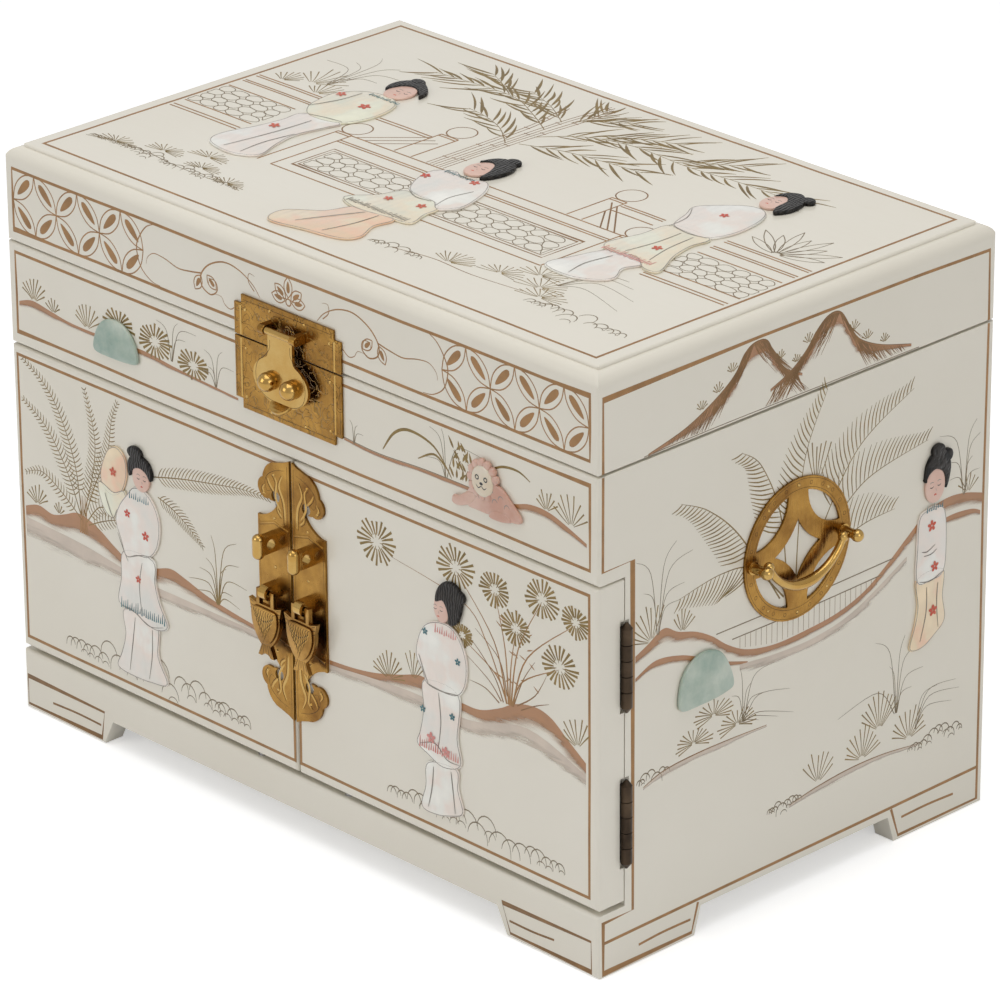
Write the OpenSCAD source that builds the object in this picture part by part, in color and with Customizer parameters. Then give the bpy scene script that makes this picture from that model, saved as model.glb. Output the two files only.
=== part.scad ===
// Musical jewellery casket: a lacquered two-door cabinet under a lift-up lid.
// +X is the right-hand side, -Y the front with the doors, +Z up. The origin lies on the table
// under the middle of the case.

/* [Case] */
// Width of the case, side to side
case_w = 310; // [290:1:340]
// Depth of the case, front to back
case_d = 200; // [190:1:230]
// Height from the table to the raised panel on the lid
case_h = 230.2; // [224:0.1:245]
// Height of the line where the lid parts from the body
part_z = 192; // [188:1:196]
// Gap along that line
part_gap = 0.5; // [0.3:0.1:1]
// Height of the fascia board's lower edge
fascia_z = 151.3; // [149:0.1:154]
// Height of the rail under the doors
rail_h = 24.6; // [20:0.1:28]
// Thickness of the two side panels
side_t = 9; // [7:0.5:12]
// Thickness of the base rail and the fascia board
front_t = 9; // [7:0.5:11]
// Thickness of the back panel
back_t = 8; // [6:0.5:10]
// Thickness of the cabinet floor
floor_t = 6; // [4:0.5:8]
// Thickness of the tray floor above the cabinet
tray_t = 6; // [4:0.5:8]
// Rounding of the upright corners and of the small edges
corner_r = 1.2; // [0.5:0.1:2]
// Rounding of the base rail's upper edge
rail_r = 1.5; // [0.5:0.1:2.5]

/* [Feet] */
// Height of the cut between two feet
foot_h = 10.8; // [6:0.1:14]
// Length of a foot along the front and the back, at the table
foot_front = 45.5; // [35:0.5:60]
// How much longer that foot is at the top of the cut
foot_front_slope = 5.5; // [0:0.1:8]
// Length of a foot along the side, at the table
foot_side = 48; // [35:0.5:60]
// How much longer that foot is at the top of the cut
foot_side_slope = 3.3; // [0:0.1:8]

/* [Lid] */
// Thickness of the lid's four walls
lid_wall_t = 9; // [7:0.5:12]
// Thickness of the lid's top board
lid_top_t = 8.8; // [8:0.1:11]
// Radius of the quarter round along the top board's edge
ovolo_r = 5; // [3:0.1:6]
// Height of the raised panel above the quarter round
panel_lift = 1.4; // [0.8:0.1:2.5]
// Distance of the raised panel from the case's outline
panel_inset = 5; // [4:0.1:9]
// Thickness of the mirror glass
mirror_t = 2; // [1.5:0.1:3]
// Width of the lining round the mirror
mirror_border = 20; // [12:1:30]
// How far the lid opens, in degrees
lid_open = 100; // [80:1:105]

/* [Lid hinges] */
// Distance of each lid hinge from the middle
lid_hinge_x = 95; // [70:1:120]
// Length of a lid hinge along its barrel
lid_hinge_w = 36; // [28:1:50]
// Height of one leaf below or above its barrel
lid_leaf_h = 18; // [12:0.5:22]
// Thickness of the lid hinge's leaves
lid_leaf_t = 1.2; // [0.8:0.1:1.6]
// Radius of the lid hinge's barrel
lid_barrel_r = 2.3; // [2:0.1:3]
// Radius of the lid hinge's pin
lid_pin_r = 1.1; // [0.8:0.05:1.4]

/* [Doors] */
// Thickness of a door
door_t = 12.5; // [10:0.1:14]
// Gap above the doors
door_gap_top = 0.8; // [0.5:0.1:1.5]
// Gap below the doors
door_gap_low = 1.8; // [1.4:0.1:2.5]
// Gap between the two doors
door_gap_mid = 0.7; // [0.5:0.1:1.5]
// Gap between a door and the panel edge behind it
door_seat = 0.5; // [0.4:0.1:0.8]
// Rounding of a door's front edges
door_r = 1.6; // [0.8:0.1:3]
// Rounding of a door's corners
door_corner_r = 0.8; // [0.4:0.1:2]

/* [Door hinges] */
// Distance of the barrel's axis outside the case's side
barrel_out = 1.0; // [0.6:0.1:1.6]
// Radius of the barrel
barrel_r = 2.15; // [1.8:0.05:2.4]
// Length of the barrel without its pointed ends
barrel_len = 30; // [24:0.5:34]
// Height of the pointed ends
barrel_tip = 2.2; // [1:0.1:4]
// Height of the upper hinges' middle
hinge_high_z = 117.4; // [105:0.1:122]
// Height of the lower hinges' middle
hinge_low_z = 57.2; // [50:0.1:68]
// Knuckles on one hinge, an odd number
knuckles = 5; // [3:2:7]
// Thickness of the door hinge's leaves
leaf_t = 1.0; // [0.8:0.1:1.4]
// Width of a leaf let into its board
leaf_w = 6; // [4:0.1:6.5]
// Radius of the hinge pin
pin_r = 1.0; // [0.7:0.05:1.3]

/* [Clasp] */
// Width of the clasp's two plates
clasp_w = 56; // [48:0.5:64]
// Height of both plates together
clasp_h = 44; // [38:0.2:46]
// Height of the middle of the plates
clasp_z = 186.2; // [184:0.1:189]
// Width of the step in each corner
clasp_step_w = 3.7; // [2:0.1:6]
// Height of the step in each corner
clasp_step_h = 3.6; // [2:0.1:6]
// Thickness of every brass plate on the case
plate_t = 1.0; // [0.8:0.1:1.5]
// Height of the hasp's hinge pin
hasp_pin_z = 200.6; // [199:0.1:202]
// Radius of that pin
hasp_pin_r = 0.7; // [0.6:0.05:1]
// How far the two lugs stand out from the plate
lug_reach = 6.3; // [5.6:0.1:8]
// Thickness of a lug
lug_t = 3; // [1.5:0.1:3.5]
// Thickness of the hasp
hasp_t = 1.2; // [0.8:0.1:1.6]
// Half the width of the hasp's neck
hasp_neck = 6.4; // [5:0.1:8]
// Width of the hasp's oval end
hasp_oval_w = 28.8; // [26:0.1:31]
// Height of that oval end
hasp_oval_h = 19; // [17:0.1:22]
// Height of the middle of the oval end above the table
hasp_oval_z = 182; // [181:0.1:184]
// Radius of the oval at its two sides
hasp_end_r = 6.5; // [5:0.1:8]
// Radius of the hollow shoulders between the neck and the oval end
hasp_shoulder_r = 2.5; // [1.5:0.1:5]
// Radius of the two ball studs
stud_r = 3.6; // [2.4:0.1:4]
// Distance of each ball stud from the middle
stud_x = 5.8; // [5:0.1:7]

/* [Door furniture] */
// Height of the middle of the two long plates
escutcheon_z = 98.9; // [95:0.1:102]
// Half the height of the straight part of a long plate
escutcheon_half = 26; // [22:0.5:30]
// Distance of a long plate's edge from the middle of the case
escutcheon_w = 17.8; // [16:0.1:20]
// Distance of the staples from the middle of the case
staple_x = 9.4; // [8:0.1:11]
// Height of the lock staples
lock_z = 116.6; // [112:0.1:120]
// Height of the pull staples' eyes
pull_z = 97.5; // [95:0.1:99]
// Thickness of a staple's flat bar
staple_t = 3.6; // [3:0.1:4.5]
// Height of a staple's flat bar
staple_h = 6.8; // [6.4:0.1:8]
// Height of the bead on a lock staple, with its round ends
bead_h = 9.9; // [8:0.1:11]
// How far the bar stands out before its bead
staple_reach = 7.6; // [7.2:0.1:9]
// Radius of the upright bead on the bar's end
bead_r = 2.3; // [1.9:0.1:3]
// Radius of the eye through a lock staple
lock_eye_r = 2; // [1.5:0.05:2.2]
// Radius of the eye through a pull staple
eye_r = 1.5; // [1.3:0.05:1.8]
// Distance of an eye in front of the plate
eye_reach = 4.2; // [3.8:0.1:4.4]
// Thickness of a fish-shaped pull
fish_t = 1.8; // [1.4:0.1:2.2]
// Half the width of a pull's body
fish_half = 7.6; // [6:0.1:8]
// Length of a pull below its eye
fish_len = 25.5; // [23:0.5:30]

/* [Side handles] */
// Distance of the handles' middle from the middle of the case, front to back
handle_y = -2; // [-10:0.5:10]
// Height of the handles' middle
handle_z = 135; // [128:0.5:150]
// Outer radius of the round plate
ring_r = 27; // [26:0.1:30]
// Inner radius of the plate's rim
ring_in_r = 21.8; // [20:0.1:22.5]
// Radius of the arcs round the four petals
petal_r = 16.2; // [15:0.1:17]
// Distance of those arcs' centres along Y and along Z
petal_c = 21.2; // [20.8:0.1:22]
// Width of the bands that cross the plate
band_w = 7.1; // [6:0.1:8]
// Distance of each post from the handle's middle
post_y = 23; // [22.5:0.1:24.5]
// Radius of a post
post_r = 1.8; // [1.5:0.1:2.2]
// Radius of the ball on a post
ball_r = 2.4; // [2.1:0.1:2.7]
// Distance of the bail's pivot from the round plate
pivot_reach = 4; // [3.6:0.1:5]
// Radius of the bail's pivot pins
bail_pin_r = 0.9; // [0.6:0.05:1]
// Depth of the bail below its pivots, to the middle of its section
bail_drop = 11.8; // [9:0.1:14]
// Radius of the bail's round section near its pivots
bail_r = 1.5; // [1.2:0.1:1.8]
// Radius of the bail's grip
grip_r = 2.1; // [1.6:0.1:2.4]
// Half the angle over which the grip runs
grip_half = 26; // [16:1:34]

/* [Cabinet and tray] */
// Thickness of the velvet-covered card linings
lining_t = 1.2; // [0.8:0.1:2]
// Thickness of the upright board between the two halves of the cabinet
divider_t = 6; // [4:0.5:9]
// Height of the shelf's upper face in the left half
shelf_z = 91; // [80:1:100]
// Thickness of the shelf
shelf_t = 6; // [4:0.5:9]
// Depth of the closed bay behind the cabinet
bay_d = 32; // [32:0.5:36]
// Thickness of the partition in front of the bay
bay_t = 4; // [3:0.5:6]
// Thickness of the tray's velvet-covered dividers
tray_divider_t = 2; // [1.5:0.1:3]
// Height of the tray's dividers above the lining
tray_divider_h = 24; // [18:0.5:26]
// Half the width of the middle compartment
ring_bay_x = 52; // [40:1:65]
// Distance of the long divider behind the middle of the case
long_divider_y = 44; // [40:0.5:46]
// Radius of a ring roll
roll_r = 7.4; // [6:0.1:8]
// Distance between two ring rolls
roll_pitch = 16.4; // [16.3:0.1:20]
// Hooks for necklaces in the right half of the cabinet
hooks = 5; // [3:1:6]
// Distance between two hooks
hook_pitch = 24; // [18:1:26]

/* [Music movement] */
// Height of the winding arbor
wind_z = 112; // [108:0.5:114]
// Radius of the winding arbor
wind_r = 1.6; // [1.2:0.05:2]
// Radius of the spring barrel
barrel_cup_r = 12; // [11:0.1:12.4]
// Wall of the spring barrel
barrel_wall = 1; // [0.8:0.1:1.4]
// Radius of the circle of pins on the crown wheel
crown_pitch_r = 9; // [9:0.1:9]
// Pins on the crown wheel
crown_pins = 24; // [24:1:24]
// Leaves on the cylinder's pinion
pinion_leaves = 8; // [8:1:8]
// Radius of the pinned cylinder
drum_r = 6.5; // [5.5:0.1:6.6]
// Length of the pinned cylinder
drum_h = 13; // [11:0.1:13]
// Radius of the cylinder's arbor
arbor_r = 1.2; // [0.9:0.05:1.4]
// Module of the small wheels
wheel_module = 0.4; // [0.38:0.01:0.42]
// Teeth on the wheel above the cylinder
wheel_teeth = 40; // [40:1:40]
// Teeth on the idler wheel
idler_teeth = 32; // [32:1:32]
// Leaves on the small pinions
small_leaves = 8; // [8:1:8]
// Radius of the governor's fan
fan_r = 6; // [4.5:0.1:6.5]
// Number of tuned teeth on the comb
comb_teeth = 18; // [12:1:18]
// Thickness of the comb
comb_t = 1; // [0.8:0.1:1.4]
// Travel of the stop slider
stop_travel = 3; // [2:0.1:3.5]
// Turns of the mainspring
spring_turns = 6; // [4:1:7]

/* [Dancer] */
// Room between the dancer's finger tips and the mirror in the closed lid
head_room = 7.85; // [5:0.05:12]
// Radius of the tutu
tutu_r = 13; // [10:0.5:15]

/* [Hidden] */
$fn = 48;

// Overlap given to a cutting solid so that it leaves no skin
eps = 0.05;
// Running clearance of a pin or an arbor in its bore, on the radius
run = 0.05;
// Seating clearance of a rivet or a screw shank, on the radius
snug = 0.02;
// Gap between two pieces that pass each other
pass = 0.3;
// Gap left between two velvet-covered cards that meet at a corner
card_gap = 0.1;

// Planes of the case
out_x = case_w / 2;
in_x = out_x - side_t;
front_y = -case_d / 2;
back_y = case_d / 2;
back_in_y = back_y - back_t;
board_in_y = front_y + front_t;
body_top = part_z - part_gap / 2;
lid_low = part_z + part_gap / 2;
floor_top = rail_h;
tray_top = fascia_z + tray_t;
door_back_y = front_y + door_t;
seat_y = door_back_y + door_seat;
bay_y = back_in_y - bay_d;
bay_front_y = bay_y - bay_t;

// Planes of the lid
ledge_z = case_h - panel_lift;
lid_board_z = ledge_z - lid_top_t;
lid_in_x = out_x - lid_wall_t;
lid_in_y = back_y - lid_wall_t;

// Doors
door_low = rail_h + door_gap_low;
door_high = fascia_z - door_gap_top;
door_w = out_x - door_gap_mid / 2;
axis_x = out_x + barrel_out;
axis_y = (door_back_y + seat_y) / 2;
hinge_zs = [hinge_low_z, hinge_high_z];
leaf_out = barrel_r + pass;
neck_edge = axis_x - leaf_out - pass;

// Lid hinges
lid_axis_y = back_y + lid_barrel_r + pass;
lid_axis_z = part_z;
lid_leaf_edge = lid_barrel_r + pass;

// Brass faces on the front
plate_y = front_y - plate_t;
clasp_top = clasp_z + clasp_h / 2;
clasp_low = clasp_z - clasp_h / 2;
hasp_pin_y = plate_y - lug_reach + 2.3;
hasp_knuckle_r = hasp_pin_r + 0.6;
hasp_front_y = hasp_pin_y + 0.4;
hasp_back_y = hasp_front_y + hasp_t;
hasp_clear = 0.4;
lug_in = hasp_neck + pass;
lug_h = 3.6;
stud_z = hasp_oval_z - 0.9;
stud_y = hasp_front_y - 1.1;
front_reach = plate_t + staple_reach + bead_r;

// Pulls
eye_y = plate_y - eye_reach;
fish_bar_r = 0.9;
fish_arm_x = staple_t / 2 + 1.2;
fish_arm_w = 1.6;

// Side handles
ring_face_x = out_x + plate_t;
pivot_x = ring_face_x + pivot_reach;
ball_x = pivot_x + bail_pin_r + ball_r - 0.3;
end_ball_r = bail_r + 0.5;
bail_end_y = post_y - post_r - pass - end_ball_r;

// Music movement: the arbors stand in one plane, the barrel lies behind it
bed_t = 2.6;
bed_y = back_in_y - bed_t;
bed_left = -34;
bed_right = 22;
bed_low = wind_z - 14;
bracket_t = 2;
cup_back_y = bed_y;
cup_front_y = bed_y - 11.9;
crown_t = 1.5;
crown_y = cup_front_y - 0.5 - crown_t;
crown_r = crown_pitch_r + 2;
crown_pin_r = 0.4;
crown_pin_len = 2;
pinion_r = crown_pitch_r * pinion_leaves / crown_pins;
pinion_tip = 0.6;
pinion_h = 2;
arbor_y = crown_y - 4.2;
mesh_z = wind_z + crown_pitch_r;
arm_low_z = wind_z + barrel_cup_r + 0.6;
drum_z = arm_low_z + bracket_t + 1.4;
wheel_t = 1.2;
wheel_z = drum_z + drum_h + 1;
idler_z = wheel_z + wheel_t + 0.8;
arm_high_z = idler_z + wheel_t + 0.8;
bed_high = arm_high_z + bracket_t;
small_r = wheel_module * small_leaves / 2;
idler_x = wheel_module * wheel_teeth / 2 + small_r;
fan_x = idler_x + wheel_module * idler_teeth / 2 + small_r;
idler_arbor_r = 0.8;
fan_arbor_r = 0.6;
comb_tip_x = -(drum_r + 0.9);
comb_root_x = -22;
comb_pitch = drum_h / comb_teeth;
comb_block_y = arbor_y + comb_t / 2;
comb_screw_x = (bed_left + comb_root_x) / 2;
comb_screw_zs = [drum_z + 2.5, drum_z + drum_h - 2.5];
wood_screw_r = 1.2;
wood_head_r = 2.3;
bed_screw_zs = [bed_low + wood_head_r + 1, bed_high - wood_head_r - 1];
bed_screw_xs = [bed_left + 4, bed_right - 4];

stop_r = 1;
stop_z = drum_z + 5;

// Dancer
stand_z = tray_top + lining_t + 0.6;
stand_h = 2;
stand_r = 5.5;
foot_z = stand_z + stand_h;
dancer_h = lid_board_z - mirror_t - head_room - foot_z;

// ---- shared shapes ----

// What lies outside a quarter circle of radius r in a corner that points to sx, sy
module corner_cut(sx, sy, r) {
    difference() {
        translate([-sx * (r - eps) / 2, -sy * (r - eps) / 2]) square(r + eps, center = true);
        translate([-sx * r, -sy * r]) circle(r);
    }
}

// A rectangle from y = 0 up, centred in x, with its upper and lower corners rounded
module soft_rect(w, h, upper, lower) {
    difference() {
        translate([-w / 2, 0]) square([w, h]);
        for (s = [-1, 1]) {
            if (upper > 0) translate([s * w / 2, h]) corner_cut(s, 1, upper);
            if (lower > 0) translate([s * w / 2, 0]) corner_cut(s, -1, lower);
        }
    }
}

// A board centred in x and y that stands on z = 0: its upright, upper and lower edges are rounded
module soft_board(w, d, h, upright, upper, lower) {
    intersection() {
        linear_extrude(h) translate([0, -d / 2]) soft_rect(w, d, upright, upright);
        translate([0, d / 2, 0]) rotate([90, 0, 0]) linear_extrude(d) soft_rect(w, h, upper, lower);
        translate([-w / 2, 0, 0]) rotate([90, 0, 90]) linear_extrude(w)
            soft_rect(d, h, upper, lower);
    }
}

// A rectangle in the first quadrant with the two corners on x = 0 rounded
module front_eased(d, h, lower, upper) {
    difference() {
        square([d, h]);
        if (lower > 0) corner_cut(-1, -1, lower);
        if (upper > 0) translate([0, h]) corner_cut(-1, 1, upper);
    }
}

// A box given by its two opposite corners
module span(low, high) {
    translate(low) cube(high - low);
}

// A rod along X, along Y or along Z, from a point towards the positive side
module rod_x(p, r, l) {
    translate(p) rotate([0, 90, 0]) cylinder(r = r, h = l);
}

module rod_y(p, r, l) {
    translate(p) rotate([-90, 0, 0]) cylinder(r = r, h = l);
}

module rod_z(p, r, l) {
    translate(p) cylinder(r = r, h = l);
}

// Right-hand pieces are drawn once, and the left ones are their mirror image
module on_side(s) {
    mirror([s < 0 ? 1 : 0, 0, 0]) children();
}

// ---- case ----

module foot_cut(half, slope) {
    polygon([[-half, -eps], [-half + slope, foot_h], [half - slope, foot_h], [half, -eps]]);
}

module side_outline() {
    difference() {
        union() {
            translate([front_y, fascia_z])
                front_eased(case_d, body_top - fascia_z, corner_r, corner_r);
            translate([seat_y, rail_h - eps])
                square([back_y - seat_y, fascia_z - rail_h + 2 * eps]);
            translate([front_y, 0]) front_eased(case_d, rail_h, corner_r, rail_r);
        }
        foot_cut(back_y - foot_side, foot_side_slope);
    }
}

module side_panel(s) {
    color("ivory") on_side(s) difference() {
        intersection() {
            translate([in_x, 0, 0]) rotate([90, 0, 90]) linear_extrude(side_t) side_outline();
            linear_extrude(body_top) translate([0, front_y])
                soft_rect(case_w, case_d, corner_r, corner_r);
        }
        for (z = hinge_zs) {
            hinge_recess(z);
            span([neck_edge - leaf_w, axis_y - eps, z - barrel_len / 2 - snug],
                 [axis_x, seat_y + leaf_t, z + barrel_len / 2 + snug]);
        }
        for (k = [-1, 1])
            rod_x([out_x - post_seat, handle_y + k * post_y, handle_z], post_r + snug,
                  post_seat + eps);
    }
}

// Depth that a handle post is let into the side panel
post_seat = 5;

module base_rail() {
    color("ivory") difference() {
        translate([-in_x, front_y, 0]) rotate([90, 0, 90]) linear_extrude(2 * in_x)
            front_eased(front_t, rail_h, corner_r, rail_r);
        translate([0, board_in_y + eps, 0]) rotate([90, 0, 0]) linear_extrude(front_t + 2 * eps)
            foot_cut(out_x - foot_front, foot_front_slope);
        for (s = [-1, 1])
            rod_z([s * magnet_x, magnet_y, rail_h - magnet_h + magnet_proud],
                  magnet_r + snug, magnet_h);
    }
}

magnet_x = 23.5;
magnet_y = front_y + 4.2;
magnet_r = 2;
magnet_h = 4;
magnet_proud = 0.9;

module door_magnets() {
    color("dimgray") for (s = [-1, 1])
        rod_z([s * magnet_x, magnet_y, rail_h - magnet_h + magnet_proud], magnet_r, magnet_h);
}

module fascia_board() {
    color("ivory") translate([-in_x, front_y, fascia_z]) rotate([90, 0, 90])
        linear_extrude(2 * in_x) front_eased(front_t, body_top - fascia_z, corner_r, corner_r);
}

module back_panel() {
    color("ivory") difference() {
        span([-in_x, back_in_y, 0], [in_x, back_y, body_top]);
        translate([0, back_y + eps, 0]) rotate([90, 0, 0]) linear_extrude(back_t + 2 * eps)
            foot_cut(out_x - foot_front, foot_front_slope);
        rod_y([0, back_in_y - eps, wind_z], wind_r + 0.6, back_t + 2 * eps);
        stop_bore();
        for (x = bed_screw_xs, z = bed_screw_zs)
            rod_y([x, back_in_y - eps, z], wood_screw_r + snug, wood_screw_in + eps);
    }
}

module cabinet_floor() {
    color("ivory") span([-in_x, board_in_y, floor_top - floor_t], [in_x, back_in_y, floor_top]);
}

module tray_floor() {
    color("ivory") difference() {
        span([-in_x, board_in_y, fascia_z], [in_x, back_in_y, tray_top]);
        rod_z([0, arbor_y, fascia_z - eps], arbor_r + 2, tray_t + 2 * eps);
        for (i = [0 : hooks - 1])
            rod_z([hook_x(i), hook_y, fascia_z - eps], hook_r + snug, hook_in + eps);
    }
}

module bay_partition() {
    color("ivory") span([-in_x, bay_front_y, floor_top], [in_x, bay_y, fascia_z]);
}

module cabinet_divider() {
    color("ivory") span([-divider_t / 2, seat_y, floor_top],
                        [divider_t / 2, bay_front_y, fascia_z]);
}

shelf_front_y = seat_y + 8;

module cabinet_shelf() {
    color("ivory") span([-in_x, shelf_front_y, shelf_z - shelf_t],
                        [-divider_t / 2, bay_front_y, shelf_z]);
}

module cabinet_lining() {
    back = bay_front_y - lining_t;
    card = back - card_gap;
    color("firebrick") {
        span([-in_x, seat_y, floor_top], [-divider_t / 2, card, floor_top + lining_t]);
        span([divider_t / 2, seat_y, floor_top], [in_x, card, floor_top + lining_t]);
        span([-in_x, shelf_front_y, shelf_z], [-divider_t / 2, card, shelf_z + lining_t]);
        span([-in_x, back, floor_top], [-divider_t / 2, bay_front_y, shelf_z - shelf_t]);
        span([-in_x, back, shelf_z], [-divider_t / 2, bay_front_y, fascia_z]);
        span([divider_t / 2, back, floor_top], [in_x, bay_front_y, fascia_z]);
    }
}

hook_r = 1.2;
hook_in = 4;
hook_bend_r = 4.5;
hook_drop = 11;
hook_flange_r = 3.6;
hook_flange_t = 1.4;
hook_y = (seat_y + bay_front_y) / 2;
function hook_x(i) = (in_x + divider_t / 2) / 2 + (i - (hooks - 1) / 2) * hook_pitch;

module necklace_hook() {
    difference() {
        rod_z([0, 0, -hook_flange_t], hook_flange_r, hook_flange_t);
        rod_z([0, 0, -hook_flange_t - eps], hook_r / 2, eps);
    }
    rod_z([0, 0, -hook_drop], hook_r, hook_drop + hook_in);
    translate([0, -hook_bend_r, -hook_drop]) rotate([0, 90, 0]) rotate([0, 0, 90])
        rotate_extrude(angle = -180) translate([hook_bend_r, 0]) circle(hook_r);
    translate([0, -2 * hook_bend_r, -hook_drop]) sphere(hook_r * 1.5);
}

module necklace_hooks() {
    color("goldenrod") for (i = [0 : hooks - 1])
        translate([hook_x(i), hook_y, fascia_z]) necklace_hook();
}

// ---- tray ----

tray_lining_top = body_top - 4;
lined_z = tray_top + lining_t;

module tray_lining() {
    low = lined_z + card_gap;
    color("firebrick") {
        difference() {
            span([-in_x, board_in_y, tray_top], [in_x, back_in_y, lined_z]);
            rod_z([0, arbor_y, tray_top - eps], arbor_r + 2, lining_t + 2 * eps);
        }
        span([-in_x, board_in_y, low], [in_x, board_in_y + lining_t, tray_lining_top]);
        span([-in_x, back_in_y - lining_t, low], [in_x, back_in_y, tray_lining_top]);
        for (s = [-1, 1]) on_side(s)
            span([in_x - lining_t, board_in_y + lining_t + card_gap, low],
                 [in_x, back_in_y - lining_t - card_gap, tray_lining_top]);
    }
}

module tray_dividers() {
    color("firebrick") {
        span([-in_x + lining_t, long_divider_y, lined_z],
             [in_x - lining_t, long_divider_y + tray_divider_t, lined_z + tray_divider_h]);
        for (s = [-1, 1]) on_side(s)
            span([ring_bay_x, board_in_y + lining_t, lined_z],
                 [ring_bay_x + tray_divider_t, long_divider_y - card_gap,
                  lined_z + tray_divider_h]);
    }
}

roll_room = long_divider_y - board_in_y - lining_t;
rolls = floor((roll_room - 2 * roll_r - 1) / roll_pitch) + 1;
roll_y0 = board_in_y + lining_t + (roll_room - (rolls - 1) * roll_pitch) / 2;

module ring_rolls() {
    color("indianred") for (i = [0 : rolls - 1])
        rod_x([-ring_bay_x + pass, roll_y0 + i * roll_pitch, lined_z + roll_r + 0.1],
              roll_r, 2 * (ring_bay_x - pass));
}

// ---- lid ----

module lid_frame() {
    color("ivory") difference() {
        translate([0, 0, lid_low])
            soft_board(case_w, case_d, lid_board_z - lid_low, corner_r, 0, corner_r);
        span([-lid_in_x, -lid_in_y, lid_low - eps], [lid_in_x, lid_in_y, lid_board_z + eps]);
    }
}

module lid_top() {
    color("ivory") {
        translate([0, 0, lid_board_z])
            soft_board(case_w, case_d, lid_top_t, corner_r, ovolo_r, 0);
        translate([0, 0, ledge_z - eps])
            soft_board(case_w - 2 * panel_inset, case_d - 2 * panel_inset, panel_lift + eps,
                       corner_r, panel_lift * 0.7, 0);
    }
}

module lid_mirror() {
    x = lid_in_x - mirror_border;
    y = lid_in_y - mirror_border;
    color("lightsteelblue") span([-x, -y, lid_board_z - mirror_t], [x, y, lid_board_z]);
}

module lid_lining() {
    x = lid_in_x - mirror_border;
    y = lid_in_y - mirror_border;
    color("firebrick") {
        for (s = [-1, 1]) on_side(s)
            span([x, -lid_in_y, lid_board_z - mirror_t], [lid_in_x, lid_in_y, lid_board_z]);
        for (s = [-1, 1]) mirror([0, s < 0 ? 1 : 0, 0])
            span([-x, y, lid_board_z - mirror_t], [x, lid_in_y, lid_board_z]);
    }
}

// ---- hinges ----

// Room round a door hinge's barrel, cut from the door and from the side panel
module hinge_recess(z) {
    rod_z([axis_x, axis_y, z - barrel_len / 2 - barrel_tip - pass], leaf_out,
          barrel_len + 2 * (barrel_tip + pass));
}

// The knuckles are counted from below; the even ones belong to the case
module door_hinge_leaf(z, first, leaf_y) {
    step = barrel_len / knuckles;
    difference() {
        union() {
            span([neck_edge - leaf_w, leaf_y, z - barrel_len / 2],
                 [neck_edge, leaf_y + leaf_t, z + barrel_len / 2]);
            for (k = [first : 2 : knuckles - 1]) {
                low = z - barrel_len / 2 + k * step + (k == 0 ? 0 : pass / 2);
                high = z - barrel_len / 2 + (k + 1) * step - (k == knuckles - 1 ? 0 : pass / 2);
                rod_z([axis_x, axis_y, low], barrel_r, high - low);
                span([neck_edge - eps, leaf_y, low], [axis_x, leaf_y + leaf_t, high]);
            }
        }
        rod_z([axis_x, axis_y, z - barrel_len], pin_r + run, 2 * barrel_len);
    }
}

module door_hinge_case_leaves() {
    color("saddlebrown") for (s = [-1, 1], z = hinge_zs)
        on_side(s) door_hinge_leaf(z, 0, seat_y);
}

module door_hinge_leaves(s) {
    color("saddlebrown") for (z = hinge_zs)
        on_side(s) door_hinge_leaf(z, 1, door_back_y - leaf_t);
}

module door_hinge_pins() {
    color("saddlebrown") for (s = [-1, 1], z = hinge_zs) on_side(s)
        translate([axis_x, axis_y, z]) {
            translate([0, 0, -barrel_len / 2]) cylinder(r = pin_r, h = barrel_len);
            for (k = [0, 1]) mirror([0, 0, k]) translate([0, 0, barrel_len / 2])
                cylinder(r1 = barrel_r, r2 = 0.5, h = barrel_tip);
        }
}

lid_knuckles = 5;

// up = 1 gives the leaf on the lid, up = -1 the one on the case
module lid_hinge_leaf(s, up) {
    step = lid_hinge_w / lid_knuckles;
    first = up > 0 ? 1 : 0;
    x0 = s * lid_hinge_x - lid_hinge_w / 2;
    difference() {
        union() {
            translate([0, 0, lid_axis_z]) mirror([0, 0, up > 0 ? 0 : 1])
                span([x0, back_y, lid_leaf_edge],
                     [x0 + lid_hinge_w, back_y + lid_leaf_t, lid_leaf_h]);
            for (k = [first : 2 : lid_knuckles - 1]) {
                low = x0 + k * step + (k == 0 ? 0 : pass / 2);
                high = x0 + (k + 1) * step - (k == lid_knuckles - 1 ? 0 : pass / 2);
                rod_x([low, lid_axis_y, lid_axis_z], lid_barrel_r, high - low);
                translate([0, 0, lid_axis_z]) mirror([0, 0, up > 0 ? 0 : 1])
                    span([low, back_y + pass, 0],
                         [high, back_y + lid_leaf_t, lid_leaf_edge + eps]);
            }
        }
        rod_x([x0 - eps, lid_axis_y, lid_axis_z], lid_pin_r + run, lid_hinge_w + 2 * eps);
        for (k = [-1, 1])
            rod_y([s * lid_hinge_x + k * lid_hinge_w / 3, back_y - eps,
                   lid_axis_z + up * (lid_leaf_edge + lid_leaf_h) / 2],
                  lid_screw_r + snug, lid_leaf_t + 2 * eps);
    }
}

lid_screw_r = 1.2;

module lid_hinge_case_leaves() {
    color("goldenrod") for (s = [-1, 1]) lid_hinge_leaf(s, -1);
}

module lid_hinge_leaves() {
    color("goldenrod") for (s = [-1, 1]) lid_hinge_leaf(s, 1);
}

module lid_hinge_pins() {
    color("goldenrod") for (s = [-1, 1])
        rod_x([s * lid_hinge_x - lid_hinge_w / 2, lid_axis_y, lid_axis_z], lid_pin_r,
              lid_hinge_w);
}

// ---- clasp ----

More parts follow.
